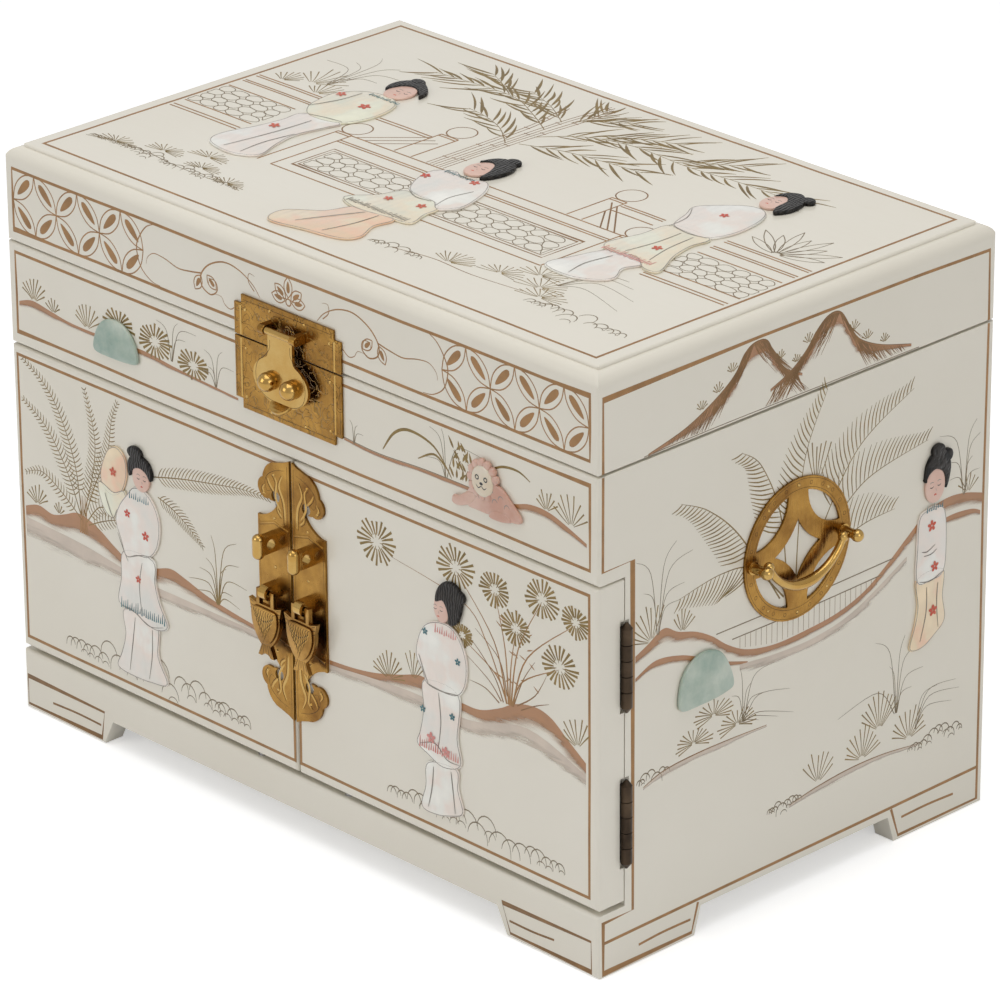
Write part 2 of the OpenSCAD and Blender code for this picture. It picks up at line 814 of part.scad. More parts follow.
module clasp_outline() {
    difference() {
        square([clasp_w, clasp_h], center = true);
        for (sx = [-1, 1], sz = [-1, 1])
            translate([sx * clasp_w / 2, sz * clasp_h / 2])
                square([2 * clasp_step_w, 2 * clasp_step_h], center = true);
    }
}

module clasp_plate(low, high) {
    intersection() {
        translate([0, front_y, clasp_z]) rotate([90, 0, 0]) linear_extrude(plate_t)
            clasp_outline();
        span([-clasp_w, plate_y - eps, low], [clasp_w, front_y + eps, high]);
    }
}

module clasp_plate_lower() {
    color("goldenrod") clasp_plate(clasp_low - eps, body_top);
}

module clasp_plate_upper() {
    color("goldenrod") clasp_plate(lid_low, clasp_top + eps);
}

// Two lugs on the upper plate, and the pin riveted between them
module hasp_bracket() {
    nose_r = lug_h / 2;
    color("goldenrod") for (s = [-1, 1]) on_side(s) difference() {
        union() {
            span([lug_in, hasp_pin_y, hasp_pin_z - nose_r],
                 [lug_in + lug_t, plate_y, hasp_pin_z + nose_r]);
            rod_x([lug_in, hasp_pin_y, hasp_pin_z], nose_r, lug_t);
        }
        rod_x([lug_in - eps, hasp_pin_y, hasp_pin_z], hasp_pin_r + snug, lug_t + 2 * eps);
    }
    color("goldenrod")
        rod_x([-lug_in - lug_t, hasp_pin_y, hasp_pin_z], hasp_pin_r, 2 * (lug_in + lug_t));
}

// A neck with hollow shoulders over an oval that is drawn with four arcs
module hasp_outline() {
    end_x = hasp_oval_w / 2 - hasp_end_r;
    half_h = hasp_oval_h / 2;
    flat_r = (end_x * end_x + half_h * half_h - hasp_end_r * hasp_end_r)
             / (2 * (half_h - hasp_end_r));
    drop = flat_r - half_h;
    meet_x = end_x * flat_r / (flat_r - hasp_end_r);
    cx = hasp_neck + hasp_shoulder_r;
    reach = flat_r + hasp_shoulder_r;
    cz = sqrt(reach * reach - cx * cx);
    tx = cx * flat_r / reach;
    tz = cz * flat_r / reach;
    translate([0, hasp_oval_z]) {
        for (s = [-1, 1]) translate([s * end_x, 0]) circle(hasp_end_r);
        intersection() {
            translate([0, -drop]) circle(flat_r, $fn = 96);
            translate([0, drop]) circle(flat_r, $fn = 96);
            square([2 * meet_x - 0.2, 2 * hasp_oval_h], center = true);
        }
        difference() {
            translate([-tx, tz - drop - 0.5]) square([2 * tx, cz - tz + 0.5]);
            for (s = [-1, 1]) translate([s * cx, cz - drop]) circle(hasp_shoulder_r);
        }
        translate([-hasp_neck, 0]) square([2 * hasp_neck, hasp_pin_z - hasp_oval_z]);
    }
}

hasp_lip_r = 4.9;
hasp_lip_lean = 55;

module hasp_plate() {
    color("darkkhaki") difference() {
        union() {
            translate([0, hasp_back_y, 0]) rotate([90, 0, 0]) linear_extrude(hasp_t)
                hasp_outline();
            rod_x([-hasp_neck, hasp_pin_y, hasp_pin_z], hasp_knuckle_r, 2 * hasp_neck);
            translate([0, hasp_back_y, hasp_oval_z - hasp_oval_h / 2 + 1])
                rotate([-hasp_lip_lean, 0, 0]) intersection() {
                    rod_y([0, -hasp_t, 0], hasp_lip_r, hasp_t);
                    span([-hasp_lip_r, -2 * hasp_t, -hasp_lip_r - 1],
                         [hasp_lip_r, hasp_t, 0]);
                }
        }
        rod_x([-lug_in, hasp_pin_y, hasp_pin_z], hasp_pin_r + run, 2 * lug_in);
        for (s = [-1, 1])
            rod_y([s * stud_x, hasp_front_y - 2, stud_z], stud_neck_r + snug, hasp_t + 4);
    }
}

stud_neck_r = 1.5;
stud_rivet_r = 2.3;
stud_rivet_t = 0.8;

module hasp_studs() {
    color("gold") for (s = [-1, 1]) translate([s * stud_x, 0, stud_z]) {
        difference() {
            translate([0, stud_y, 0]) sphere(stud_r);
            span([-stud_r, hasp_front_y, -stud_r], [stud_r, stud_y + 2 * stud_r, stud_r]);
        }
        rod_y([0, stud_y, 0], stud_neck_r, hasp_back_y - stud_y + stud_rivet_t);
        rod_y([0, hasp_back_y, 0], stud_rivet_r, stud_rivet_t);
    }
}

// ---- doors ----

module door(s) {
    color("ivory") on_side(s) difference() {
        translate([(out_x + door_gap_mid / 2) / 2, door_back_y, (door_low + door_high) / 2])
            rotate([90, 0, 0])
                soft_board(door_w, door_high - door_low, door_t, door_corner_r, door_r, 0);
        for (z = hinge_zs) {
            hinge_recess(z);
            span([neck_edge - leaf_w, door_back_y - leaf_t, z - barrel_len / 2 - snug],
                 [axis_x, door_back_y + eps, z + barrel_len / 2 + snug]);
        }
        for (z = [lock_z, pull_z])
            staple_tang(z, snug);
    }
}

tang_in = 6;

module staple_tang(z, extra) {
    rod_y([staple_x, front_y - plate_t - eps, z], staple_t / 2 - 0.4 + extra,
          plate_t + tang_in + eps);
}

plate_inner = door_gap_mid / 2 + 0.3;

// One end of a long plate: a cloud head over a hollow shoulder, with a round bite between them.
// Its places are measured from the end of the straight part.
module cloud_head() {
    k = escutcheon_w / 17.8;
    shoulder = k * [19.7, 14.4];
    shoulder_r = 14.8 * k;
    head = k * [6.5, 14.5];
    head_r = 8.45 * k;
    lobe = k * [13.3, 11.5];
    lobe_r = 4.2 * k;
    bite = k * [8.1, 9.4];
    bite_r = 2.2 * k;
    difference() {
        union() {
            difference() {
                translate([plate_inner, -eps]) square([escutcheon_w - plate_inner, 14 * k]);
                translate(shoulder) circle(shoulder_r);
            }
            intersection() {
                translate(head) circle(head_r);
                translate([plate_inner, lobe[1] - lobe_r]) square(20 * k);
            }
            translate(lobe) circle(lobe_r);
            polygon([[plate_inner, 10 * k], k * [10, 14], k * [10.2, 22.1], k * [3.7, 24],
                     [plate_inner, 25.4 * k]]);
        }
        translate(bite) circle(bite_r);
    }
}

module door_plate_outline() {
    translate([plate_inner, -escutcheon_half])
        square([escutcheon_w - plate_inner, 2 * escutcheon_half]);
    for (k = [0, 1]) mirror([0, k]) translate([0, escutcheon_half]) cloud_head();
}

module door_plate(s) {
    color("goldenrod") on_side(s) difference() {
        translate([0, front_y, escutcheon_z]) rotate([90, 0, 0]) linear_extrude(plate_t)
            door_plate_outline();
        for (z = [lock_z, pull_z])
            staple_tang(z, snug);
    }
}

// A flat bar with an eye through it and an upright bead on its end
module staple(z) {
    bead_y = plate_y - staple_reach;
    bead_half = bead_h / 2 - bead_r;
    lock_eye_y = staple_reach - bead_r - lock_eye_r - 0.3;
    difference() {
        union() {
            span([staple_x - staple_t / 2, bead_y, z - staple_h / 2],
                 [staple_x + staple_t / 2, plate_y, z + staple_h / 2]);
            rod_z([staple_x, bead_y, z - bead_half], bead_r, 2 * bead_half);
            for (k = [-1, 1])
                translate([staple_x, bead_y, z + k * bead_half]) sphere(bead_r);
        }
        rod_x([0, plate_y - lock_eye_y, z], lock_eye_r, 2 * staple_x);
    }
    staple_tang(z, 0);
}

// The staple that carries a pull is lower and ends in a plain round nose
module pull_staple(z) {
    nose_r = eye_r + 1.3;
    difference() {
        union() {
            span([staple_x - staple_t / 2, eye_y, z - nose_r],
                 [staple_x + staple_t / 2, plate_y, z + nose_r]);
            rod_x([staple_x - staple_t / 2, eye_y, z], nose_r, staple_t);
        }
        rod_x([0, eye_y, z], eye_r, 2 * staple_x);
    }
    staple_tang(z, 0);
}

module door_staples(s) {
    color("gold") on_side(s) {
        staple(lock_z);
        pull_staple(pull_z);
    }
}

// Seen from the front, with the eye's axis at the origin
module fish_outline() {
    head = -5;
    arc_r = 15.5;
    offset_x = arc_r - fish_half;
    mid = -0.37 * fish_len;
    tail_half = 4.2;
    difference() {
        union() {
            intersection() {
                translate([offset_x, mid]) circle(arc_r);
                translate([-offset_x, mid]) circle(arc_r);
                translate([-arc_r, -2 * arc_r]) square([2 * arc_r, 2 * arc_r + head]);
            }
            for (s = [-1, 1])
                polygon([[s * 3.5, head - 0.6], [s * (fish_half + 1), head + 1],
                         [s * (fish_half + 0.4), head - 1.6], [s * (fish_half - 0.6), head - 5],
                         [s * 3.5, head - 5]]);
            polygon([[0, mid - 6], [-tail_half, -fish_len], [tail_half, -fish_len]]);
        }
        translate([0, -fish_len - 1.6]) circle(2.8);
    }
}

module fish_pull(s) {
    color("darkgoldenrod") on_side(s) translate([staple_x, eye_y, pull_z]) {
        translate([0, fish_t / 2, 0]) rotate([90, 0, 0]) linear_extrude(fish_t) fish_outline();
        for (k = [-1, 1])
            span([k * fish_arm_x + (k < 0 ? -fish_arm_w : 0), -fish_t / 2, -6],
                 [k * fish_arm_x + (k < 0 ? 0 : fish_arm_w), fish_t / 2, fish_bar_r]);
        rod_x([-fish_arm_x - eps, 0, 0], fish_bar_r, 2 * (fish_arm_x + eps));
    }
}

// ---- side handles ----

module ring_outline() {
    waist = petal_c - sqrt(pow(petal_r + band_w, 2) - petal_c * petal_c);
    difference() {
        circle(ring_r, $fn = 96);
        for (sy = [-1, 1], sz = [-1, 1]) intersection() {
            circle(ring_in_r, $fn = 96);
            translate([sy * petal_c, sz * petal_c]) circle(petal_r, $fn = 96);
        }
        difference() {
            square(2 * waist, center = true);
            for (sy = [-1, 1], sz = [-1, 1])
                translate([sy * petal_c, sz * petal_c]) circle(petal_r + band_w, $fn = 96);
        }
    }
}

module handle_plates() {
    color("goldenrod") for (s = [-1, 1]) on_side(s) difference() {
        translate([out_x, handle_y, handle_z]) rotate([90, 0, 90]) linear_extrude(plate_t)
            ring_outline();
        for (k = [-1, 1])
            rod_x([out_x - eps, handle_y + k * post_y, handle_z], post_r + snug,
                  plate_t + 2 * eps);
    }
}

module handle_posts() {
    color("gold") for (s = [-1, 1], k = [-1, 1]) on_side(s)
        translate([0, handle_y + k * post_y, handle_z]) difference() {
            union() {
                rod_x([out_x - post_seat, 0, 0], post_r, ball_x - out_x + post_seat);
                rod_x([ring_face_x, 0, 0], post_r + 0.7, 0.8);
                translate([ball_x, 0, 0]) sphere(ball_r);
            }
            rod_y([pivot_x, -post_r - 1, 0], bail_pin_r + run, 2 * post_r + 2);
        }
}

// The bail hangs from two pivot pins; its round rod follows one arc between two end balls and
// is stouter along the grip
module handle_bail(s) {
    arc_r = (bail_end_y * bail_end_y + bail_drop * bail_drop) / (2 * bail_drop);
    half = asin(bail_end_y / arc_r);
    color("goldenrod") on_side(s) translate([pivot_x, handle_y, handle_z]) {
        translate([0, 0, arc_r - bail_drop]) {
            bent_rod(arc_r, bail_r, half);
            bent_rod(arc_r, grip_r, grip_half);
        }
        for (k = [-1, 1]) mirror([0, k < 0 ? 1 : 0, 0]) {
            translate([0, bail_end_y, 0]) sphere(end_ball_r);
            rod_y([0, bail_end_y, 0], bail_pin_r, post_y + post_r + 0.6 - bail_end_y);
        }
    }
}

// A round rod bent to an arc that hangs below its centre
module bent_rod(arc_r, r, half) {
    rotate([0, 90, 0]) rotate([0, 0, -half]) rotate_extrude(angle = 2 * half)
        translate([arc_r, 0]) circle(r);
}

// ---- music movement ----

wood_screw_in = 6;
wood_head_t = 1.4;
small_screw_r = 1;
small_screw_in = 4.5;
small_head_r = 1.9;
small_head_t = 1.2;
comb_block_w = 12;
bracket_left = 6;
bracket_edge = 3;
bracket_nose = 4;

module movement_bedplate() {
    block_low = drum_z - 1;
    block_high = drum_z + drum_h + 1;
    color("silver") difference() {
        union() {
            span([bed_left, bed_y, bed_low], [bed_right, back_in_y, bed_high]);
            span([bed_left, comb_block_y, block_low],
                 [bed_left + comb_block_w, bed_y + eps, block_high]);
        }
        rod_y([0, bed_y - eps, wind_z], wind_r + run, bed_t + 2 * eps);
        stop_bore();
        for (x = bed_screw_xs, z = bed_screw_zs)
            rod_y([x, bed_y - eps, z], wood_screw_r + snug, bed_t + 2 * eps);
        for (z = comb_screw_zs)
            rod_y([comb_screw_x, comb_block_y - eps, z], small_screw_r + snug,
                  small_screw_in + comb_t);
    }
}

// An upright web with a lower and an upper arm that carry the three arbors
module movement_bracket() {
    left = -bracket_left;
    right = fan_x + bracket_edge;
    front = arbor_y - bracket_nose;
    web_y = bed_y - bracket_t;
    color("silver") difference() {
        union() {
            span([left, web_y, arm_low_z], [right, bed_y, arm_high_z + bracket_t]);
            span([left, front, arm_low_z], [right, bed_y, arm_low_z + bracket_t]);
            span([left, front, arm_high_z], [right, bed_y, arm_high_z + bracket_t]);
        }
        bearing(0, arbor_r);
        bearing(idler_x, idler_arbor_r);
        bearing(fan_x, fan_arbor_r);
        stop_bore();
        for (z = bed_screw_zs)
            rod_y([bed_screw_xs[1], web_y - eps, z], wood_head_r + snug, bracket_t + 2 * eps);
    }
}

module bearing(x, r) {
    rod_z([x, arbor_y, arm_low_z - eps], r + run, arm_high_z + bracket_t - arm_low_z + 2 * eps);
}

module spring_barrel() {
    color("silver") difference() {
        rod_y([0, cup_front_y, wind_z], barrel_cup_r, cup_back_y - cup_front_y);
        rod_y([0, cup_front_y - eps, wind_z], barrel_cup_r - barrel_wall,
              cup_back_y - cup_front_y - barrel_wall + eps);
        rod_y([0, cup_front_y, wind_z], wind_r + run, cup_back_y - cup_front_y + eps);
    }
}

spring_t = 0.3;
spring_in_r = 3.4;
spring_steps = 16;
function spring_point(i, r_add) =
    let (n = spring_turns * spring_steps,
         room = barrel_cup_r - barrel_wall - 0.4 - spring_t - spring_in_r,
         r = spring_in_r + room * i / n + r_add,
         a = 360 * i / spring_steps)
    [r * cos(a), r * sin(a)];

module mainspring() {
    n = spring_turns * spring_steps;
    gap = 1.5;
    color("dimgray") translate([0, cup_back_y - barrel_wall - gap / 2, wind_z]) rotate([90, 0, 0])
        linear_extrude(cup_back_y - cup_front_y - barrel_wall - gap)
            polygon(concat([for (i = [0 : n]) spring_point(i, 0)],
                           [for (i = [n : -1 : 0]) spring_point(i, spring_t)]));
}

module comb() {
    low = drum_z + comb_pitch * 0.15;
    color("silver") translate([0, arbor_y - comb_t / 2, 0]) difference() {
        union() {
            span([bed_left, 0, drum_z - 1], [comb_root_x, comb_t, drum_z + drum_h + 1]);
            for (i = [0 : comb_teeth - 1])
                span([comb_root_x - eps, 0, low + i * comb_pitch],
                     [comb_tip_x, comb_t, low + i * comb_pitch + comb_pitch * 0.7]);
        }
        for (z = comb_screw_zs)
            rod_y([comb_screw_x, -eps, z], small_screw_r + snug, comb_t + 2 * eps);
    }
}

module movement_screws() {
    color("lightgray") {
        for (z = comb_screw_zs) translate([comb_screw_x, arbor_y - comb_t / 2, z]) {
            rod_y([0, -small_head_t, 0], small_head_r, small_head_t);
            rod_y([0, -eps, 0], small_screw_r, comb_t + small_screw_in);
        }
        for (x = bed_screw_xs, z = bed_screw_zs) translate([x, bed_y, z]) {
            rod_y([0, -wood_head_t, 0], wood_head_r, wood_head_t);
            rod_y([0, -eps, 0], wood_screw_r, bed_t + wood_screw_in - 0.5);
        }
    }
}

// ---- train ----

// A spur wheel with plain tapered teeth; the first tooth points to +X, turned by turn degrees
module spur(teeth, m, t, turn, full) {
    rp = m * teeth / 2;
    tip = rp + 0.75 * m;
    root = rp - 1.1 * m;
    half = full * 180 / teeth;
    linear_extrude(t) polygon([
        for (i = [0 : teeth - 1]) let (a = turn + i * 360 / teeth)
            for (p = [[root, -1.45], [tip, -0.5], [tip, 0.5], [root, 1.45]])
                [p[0] * cos(a + p[1] * half), p[0] * sin(a + p[1] * half)]
    ]);
}

module winding_arbor() {
    color("silver") rod_y([0, crown_y + eps, wind_z], wind_r, back_y + key_hub - crown_y - eps);
}

// How far the arbor reaches into the key
key_hub = 4;

module crown_wheel() {
    color("goldenrod") difference() {
        union() {
            rod_y([0, crown_y, wind_z], crown_r, crown_t);
            for (i = [0 : crown_pins - 1]) let (a = 90 + i * 360 / crown_pins)
                rod_y([crown_pitch_r * cos(a), crown_y - crown_pin_len,
                       wind_z + crown_pitch_r * sin(a)], crown_pin_r, crown_pin_len + eps,
                      $fn = 16);
        }
        rod_y([0, crown_y + eps, wind_z], wind_r + snug, crown_t);
    }
}

module winding_key() {
    hub_r = 3.4;
    hub_y = back_y + pass;
    hub_len = key_hub + 0.4;
    wing_r = 5;
    wing_hole = 2.6;
    wing_t = 2.4;
    wing_x = wing_r + 1.4;
    wing_y = back_y + front_reach - wing_r;
    color("silver") difference() {
        union() {
            rod_y([0, hub_y, wind_z], hub_r, hub_len);
            for (s = [-1, 1])
                rod_z([s * wing_x, wing_y, wind_z - wing_t / 2], wing_r, wing_t);
            span([-wing_x, wing_y - wing_r + 1.2, wind_z - wing_t / 2],
                 [wing_x, wing_y + 1.5, wind_z + wing_t / 2]);
        }
        for (s = [-1, 1])
            rod_z([s * wing_x, wing_y, wind_z - wing_t], wing_hole, 2 * wing_t);
        rod_y([0, back_y, wind_z], wind_r + snug, key_hub);
    }
}

// Arbor, pinion, collar and the wheel above the cylinder, all in one piece
module cylinder_arbor() {
    low = mesh_z - pinion_h / 2 - 1.5;
    step = 360 / pinion_leaves;
    color("goldenrod") translate([0, arbor_y, 0]) {
        rod_z([0, 0, low], arbor_r, stand_z + 1 - low);
        translate([0, 0, mesh_z - pinion_h / 2]) {
            cylinder(r = pinion_r - 0.9, h = pinion_h);
            for (i = [0 : pinion_leaves - 1]) rotate((i + 0.5) * step) linear_extrude(pinion_h)
                polygon([[0, -0.5], [pinion_r, -0.36], [pinion_r + pinion_tip, -0.2],
                         [pinion_r + pinion_tip, 0.2], [pinion_r, 0.36], [0, 0.5]]);
        }
        translate([0, 0, wheel_z]) spur(wheel_teeth, wheel_module, wheel_t, 0, 0.42);
        rod_z([0, 0, arm_high_z + bracket_t + pass], arbor_r + 1, 1.6);
    }
}

module music_cylinder() {
    pin_h = 0.5;
    rows = comb_teeth;
    color("gold") translate([0, arbor_y, drum_z]) difference() {
        union() {
            cylinder(r = drum_r, h = drum_h);
            for (i = [0 : rows - 1], k = [0, 1])
                rotate(i * 137.5 + k * (150 + 11 * (i % 5)))
                    rod_x([drum_r - 0.4, 0, (i + 0.5) * comb_pitch], 0.2, pin_h + 0.4,
                          $fn = 14);
        }
        translate([0, 0, -eps]) cylinder(r = arbor_r + snug, h = drum_h + 2 * eps);
    }
}

module idler_arbor() {
    color("goldenrod") translate([idler_x, arbor_y, 0]) {
        rod_z([0, 0, arm_low_z], idler_arbor_r, arm_high_z + bracket_t - arm_low_z);
        translate([0, 0, wheel_z]) spur(small_leaves, wheel_module, wheel_t, 22.5, 0.34);
        translate([0, 0, idler_z]) spur(idler_teeth, wheel_module, wheel_t, 0, 0.42);
        rod_z([0, 0, wheel_z + wheel_t - eps], small_r - 0.4, idler_z - wheel_z - wheel_t + 2 * eps);
    }
}

module governor_fan() {
    blade_low = drum_z;
    blade_h = 9;
    color("goldenrod") translate([fan_x, arbor_y, 0]) {
        rod_z([0, 0, arm_low_z], fan_arbor_r, arm_high_z + bracket_t - arm_low_z);
        translate([0, 0, idler_z]) spur(small_leaves, wheel_module, wheel_t, 22.5, 0.34);
        span([-fan_r, -0.25, blade_low], [fan_r, 0.25, blade_low + blade_h]);
    }
}

// A push rod beside the key: pushed in, its tip stands in the fan's way
module stop_slider() {
    tip_y = arbor_y + fan_r + 0.8;
    knob_y = back_y + stop_travel + 0.5;
    color("goldenrod") {
        rod_y([fan_x, tip_y, stop_z], stop_r, knob_y + 1 - tip_y);
        rod_y([fan_x, knob_y, stop_z], 3, 2.5);
        rod_y([fan_x, knob_y + 2, stop_z], 2.2, 2);
    }
}

// The bore for that rod, cut through whatever it passes
module stop_bore() {
    rod_y([fan_x, bed_y - bracket_t - eps, stop_z], stop_r + run,
          back_y - bed_y + bracket_t + 2 * eps);
}

// ---- dancer ----

// A slender figure on the tip of one foot, her arms in a ring over her head
module dancer_figure() {
    k = dancer_h / 49.05;
    hip = 21 * k;
    color("mistyrose") translate([0, arbor_y, 0]) {
        difference() {
            rod_z([0, 0, stand_z], stand_r, stand_h);
            rod_z([0, 0, stand_z - eps], arbor_r + snug, stand_h / 2 + eps);
        }
        translate([0, 0, foot_z]) {
            translate([0, 0, -eps]) cylinder(r1 = 0.8 * k, r2 = 1.5 * k, h = 11 * k + eps);
            translate([0, 0, 11 * k - eps]) cylinder(r1 = 1.5 * k, r2 = 2 * k, h = 10 * k);
            translate([0.6 * k, 0, hip]) rotate([0, 128, 0])
                cylinder(r1 = 1.9 * k, r2 = 1.3 * k, h = 8 * k);
            translate([6.9 * k, 0, hip - 5 * k]) rotate([0, -128, 0])
                cylinder(r1 = 1.3 * k, r2 = 0.8 * k, h = 8 * k);
            translate([0, 0, hip - k]) sphere(2.6 * k);
            translate([0, 0, hip]) rotate_extrude() polygon([
                [0, 0], [2.5 * k, 0], [1.7 * k, 4.5 * k], [2.5 * k, 9 * k], [0.9 * k, 11 * k],
                [0.9 * k, 14 * k], [0, 14 * k]
            ]);
            translate([0, 0, hip + 15.5 * k]) sphere(2.7 * k);
            translate([0, 0.6 * k, hip + 18.4 * k]) sphere(1.4 * k);
            translate([0, 0, hip + 18.2 * k]) rotate([90, 0, 0])
                rotate_extrude() translate([9 * k, 0]) circle(0.85 * k, $fn = 20);
        }
    }
}

module dancer_tutu() {
    k = dancer_h / 49.05;
    color("pink") translate([0, arbor_y, foot_z + 21 * k]) rotate_extrude() polygon([
        [2.9 * k, 0.4 * k], [tutu_r, -2.4 * k], [tutu_r, -1.6 * k], [2.9 * k, 1.6 * k]
    ]);
}

side_panel(-1);  // side_panel_left
side_panel(1);  // side_panel_right
base_rail();
fascia_board();
back_panel();
cabinet_floor();
tray_floor();
bay_partition();
cabinet_divider();
cabinet_shelf();
cabinet_lining();
necklace_hooks();
tray_lining();
tray_dividers();
ring_rolls();
clasp_plate_lower();
lid_hinge_case_leaves();
lid_hinge_pins();
door_hinge_case_leaves();
door_hinge_pins();
door_magnets();
handle_plates();
handle_posts();
movement_bedplate();
movement_bracket();
spring_barrel();
mainspring();
comb();
movement_screws();
lid_frame();
lid_top();
lid_mirror();
lid_lining();
lid_hinge_leaves();
clasp_plate_upper();
hasp_bracket();
hasp_plate();
hasp_studs();
door(-1);  // door_left
door(1);  // door_right
door_plate(-1);  // door_plate_left
door_plate(1);  // door_plate_right
door_staples(-1);  // door_staples_left
door_staples(1);  // door_staples_right
door_hinge_leaves(-1);  // door_hinge_leaves_left
door_hinge_leaves(1);  // door_hinge_leaves_right
fish_pull(-1);  // fish_pull_left
fish_pull(1);  // fish_pull_right
handle_bail(-1);  // handle_bail_left
handle_bail(1);  // handle_bail_right
winding_key();
winding_arbor();
crown_wheel();
cylinder_arbor();
music_cylinder();
dancer_figure();
dancer_tutu();
idler_arbor();
governor_fan();
stop_slider();
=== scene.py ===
import math
import random

import bmesh
import bpy
from bpy.props import FloatProperty, FloatVectorProperty, IntProperty, PointerProperty
from bpy.types import Operator, Panel, PropertyGroup
from mathutils import Matrix, Vector
from mathutils.geometry import tessellate_polygon


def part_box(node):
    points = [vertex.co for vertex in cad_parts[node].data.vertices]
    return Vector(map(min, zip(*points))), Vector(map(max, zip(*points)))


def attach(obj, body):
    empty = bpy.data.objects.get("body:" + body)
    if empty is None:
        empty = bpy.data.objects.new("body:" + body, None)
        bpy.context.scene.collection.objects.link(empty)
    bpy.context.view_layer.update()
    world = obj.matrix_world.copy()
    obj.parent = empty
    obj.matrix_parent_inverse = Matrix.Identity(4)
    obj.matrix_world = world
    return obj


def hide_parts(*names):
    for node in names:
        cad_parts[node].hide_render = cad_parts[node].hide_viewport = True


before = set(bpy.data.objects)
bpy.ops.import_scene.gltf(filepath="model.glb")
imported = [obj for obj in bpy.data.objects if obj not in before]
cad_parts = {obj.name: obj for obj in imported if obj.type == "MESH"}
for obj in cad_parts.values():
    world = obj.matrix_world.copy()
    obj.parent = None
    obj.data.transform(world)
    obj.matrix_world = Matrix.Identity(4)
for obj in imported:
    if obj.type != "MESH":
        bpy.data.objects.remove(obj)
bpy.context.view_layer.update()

bl_info = {
    "name": "Musical Jewellery Box",
    "version": (1, 0, 0),
    "blender": (4, 5, 0),
    "location": "View3D > Sidebar > Jewellery Box",
    "description": "Dresses a lacquered jewellery box with painted panels, shell relief and brass",
    "category": "Object",
}

MM = 0.001
FRONT, SIDE, TOP = 100, 155, 230.2  # outer faces of the case and the lid, in millimetres
PLATE = 1.0  # thickness of the brass plates
INK = 0.98  # height of the ink over a robe
ENGRAVED = 0.03  # rise of an engraved line
FLOOR_GLOW = 0.45
BAIL_X, BAIL_Y, BAIL_Z = 160, -2, 135  # middle of the right side handle
WAIST = 2.5  # radius of the tutu's inner edge


def colour(name, text, value):
    return FloatVectorProperty(
        name=name, description=text, subtype="COLOR", size=3, min=0.0, max=1.0, default=value
    )


class PaintSettings(PropertyGroup):
    """Colours of the lacquer and the painted work"""

    lacquer: colour("Lacquer", "Off-white lacquer of the case", (0.775, 0.735, 0.64))
    line: colour("Line gold", "Brown gold of the border lines", (0.245, 0.130, 0.048))
    olive: colour("Leaf gold", "Olive gold of the foliage", (0.155, 0.104, 0.032))
    fine: colour("Fine line", "Grey brown of the thinnest strokes", (0.150, 0.115, 0.068))
    earth: colour("Earth", "Ochre of the painted hills", (0.32, 0.145, 0.052))
    shade: colour("Shade", "Pale wash under the hills", (0.50, 0.42, 0.345))
    border_width: FloatProperty(
        name="Border width", description="Width of the border lines in millimetres",
        default=1.35, min=0.6, max=2.5,
    )
    paint_rise: FloatProperty(
        name="Paint rise", description="How far a painted line stands up, in millimetres",
        default=0.10, min=0.03, max=0.3,
    )


class ReliefSettings(PropertyGroup):
    """Colours of the shell and stone relief"""

    nacre: colour("Shell", "Pale shell of the robes", (0.80, 0.785, 0.72))
    warm_nacre: colour("Warm shell", "Yellow shell of the skirts", (0.78, 0.62, 0.40))
    jade: colour("Green stone", "Green stone of the rocks", (0.20, 0.31, 0.25))
    soapstone: colour("Pink stone", "Pink stone of the lion", (0.52, 0.27, 0.19))


class BrassSettings(PropertyGroup):
    """Colours of the metal"""

    sheet: colour("Sheet brass", "Orange gold of the plates", (0.385, 0.215, 0.050))
    cast: colour("Cast brass", "Paler gold of the knobs and handles", (0.46, 0.315, 0.115))
    tarnish: colour("Tarnish", "Brown of the dull places", (0.150, 0.066, 0.013))
    nail_radius: FloatProperty(
        name="Nail radius", description="Radius of a nail head in millimetres",
        default=0.62, min=0.3, max=1.2,
    )


class InsideSettings(PropertyGroup):
    """Colours of the linings and the dancer, and the tutu's pleats"""

    velvet: colour("Velvet", "Red velvet of the linings", (0.26, 0.012, 0.022))
    skin: colour("Dancer's skin", "Painted skin of the dancer", (0.80, 0.50, 0.38))
    tulle: colour("Tulle", "Tulle of the tutu", (0.86, 0.55, 0.62))
    pleats: IntProperty(
        name="Pleats", description="Pleats round the tutu", default=30, min=12, max=60
    )


class StageSettings(PropertyGroup):
    """Lamps and floor"""

    key_power: FloatProperty(
        name="Overhead softbox", description="Power of the overhead softbox in watts",
        default=10.2, min=0.0, max=100.0,
    )
    front_power: FloatProperty(
        name="Front softbox", description="Power of the front softbox in watts",
        default=6.1, min=0.0, max=100.0,
    )
    side_power: FloatProperty(
        name="Side softbox", description="Power of the side softbox in watts",
        default=5.4, min=0.0, max=100.0,
    )
    world_level: FloatProperty(
        name="World level", description="Strength of the plain surround",
        default=0.42, min=0.0, max=2.0,
    )


def settings():
    return bpy.context.scene


# ---- materials ---------------------------------------------------------------------------


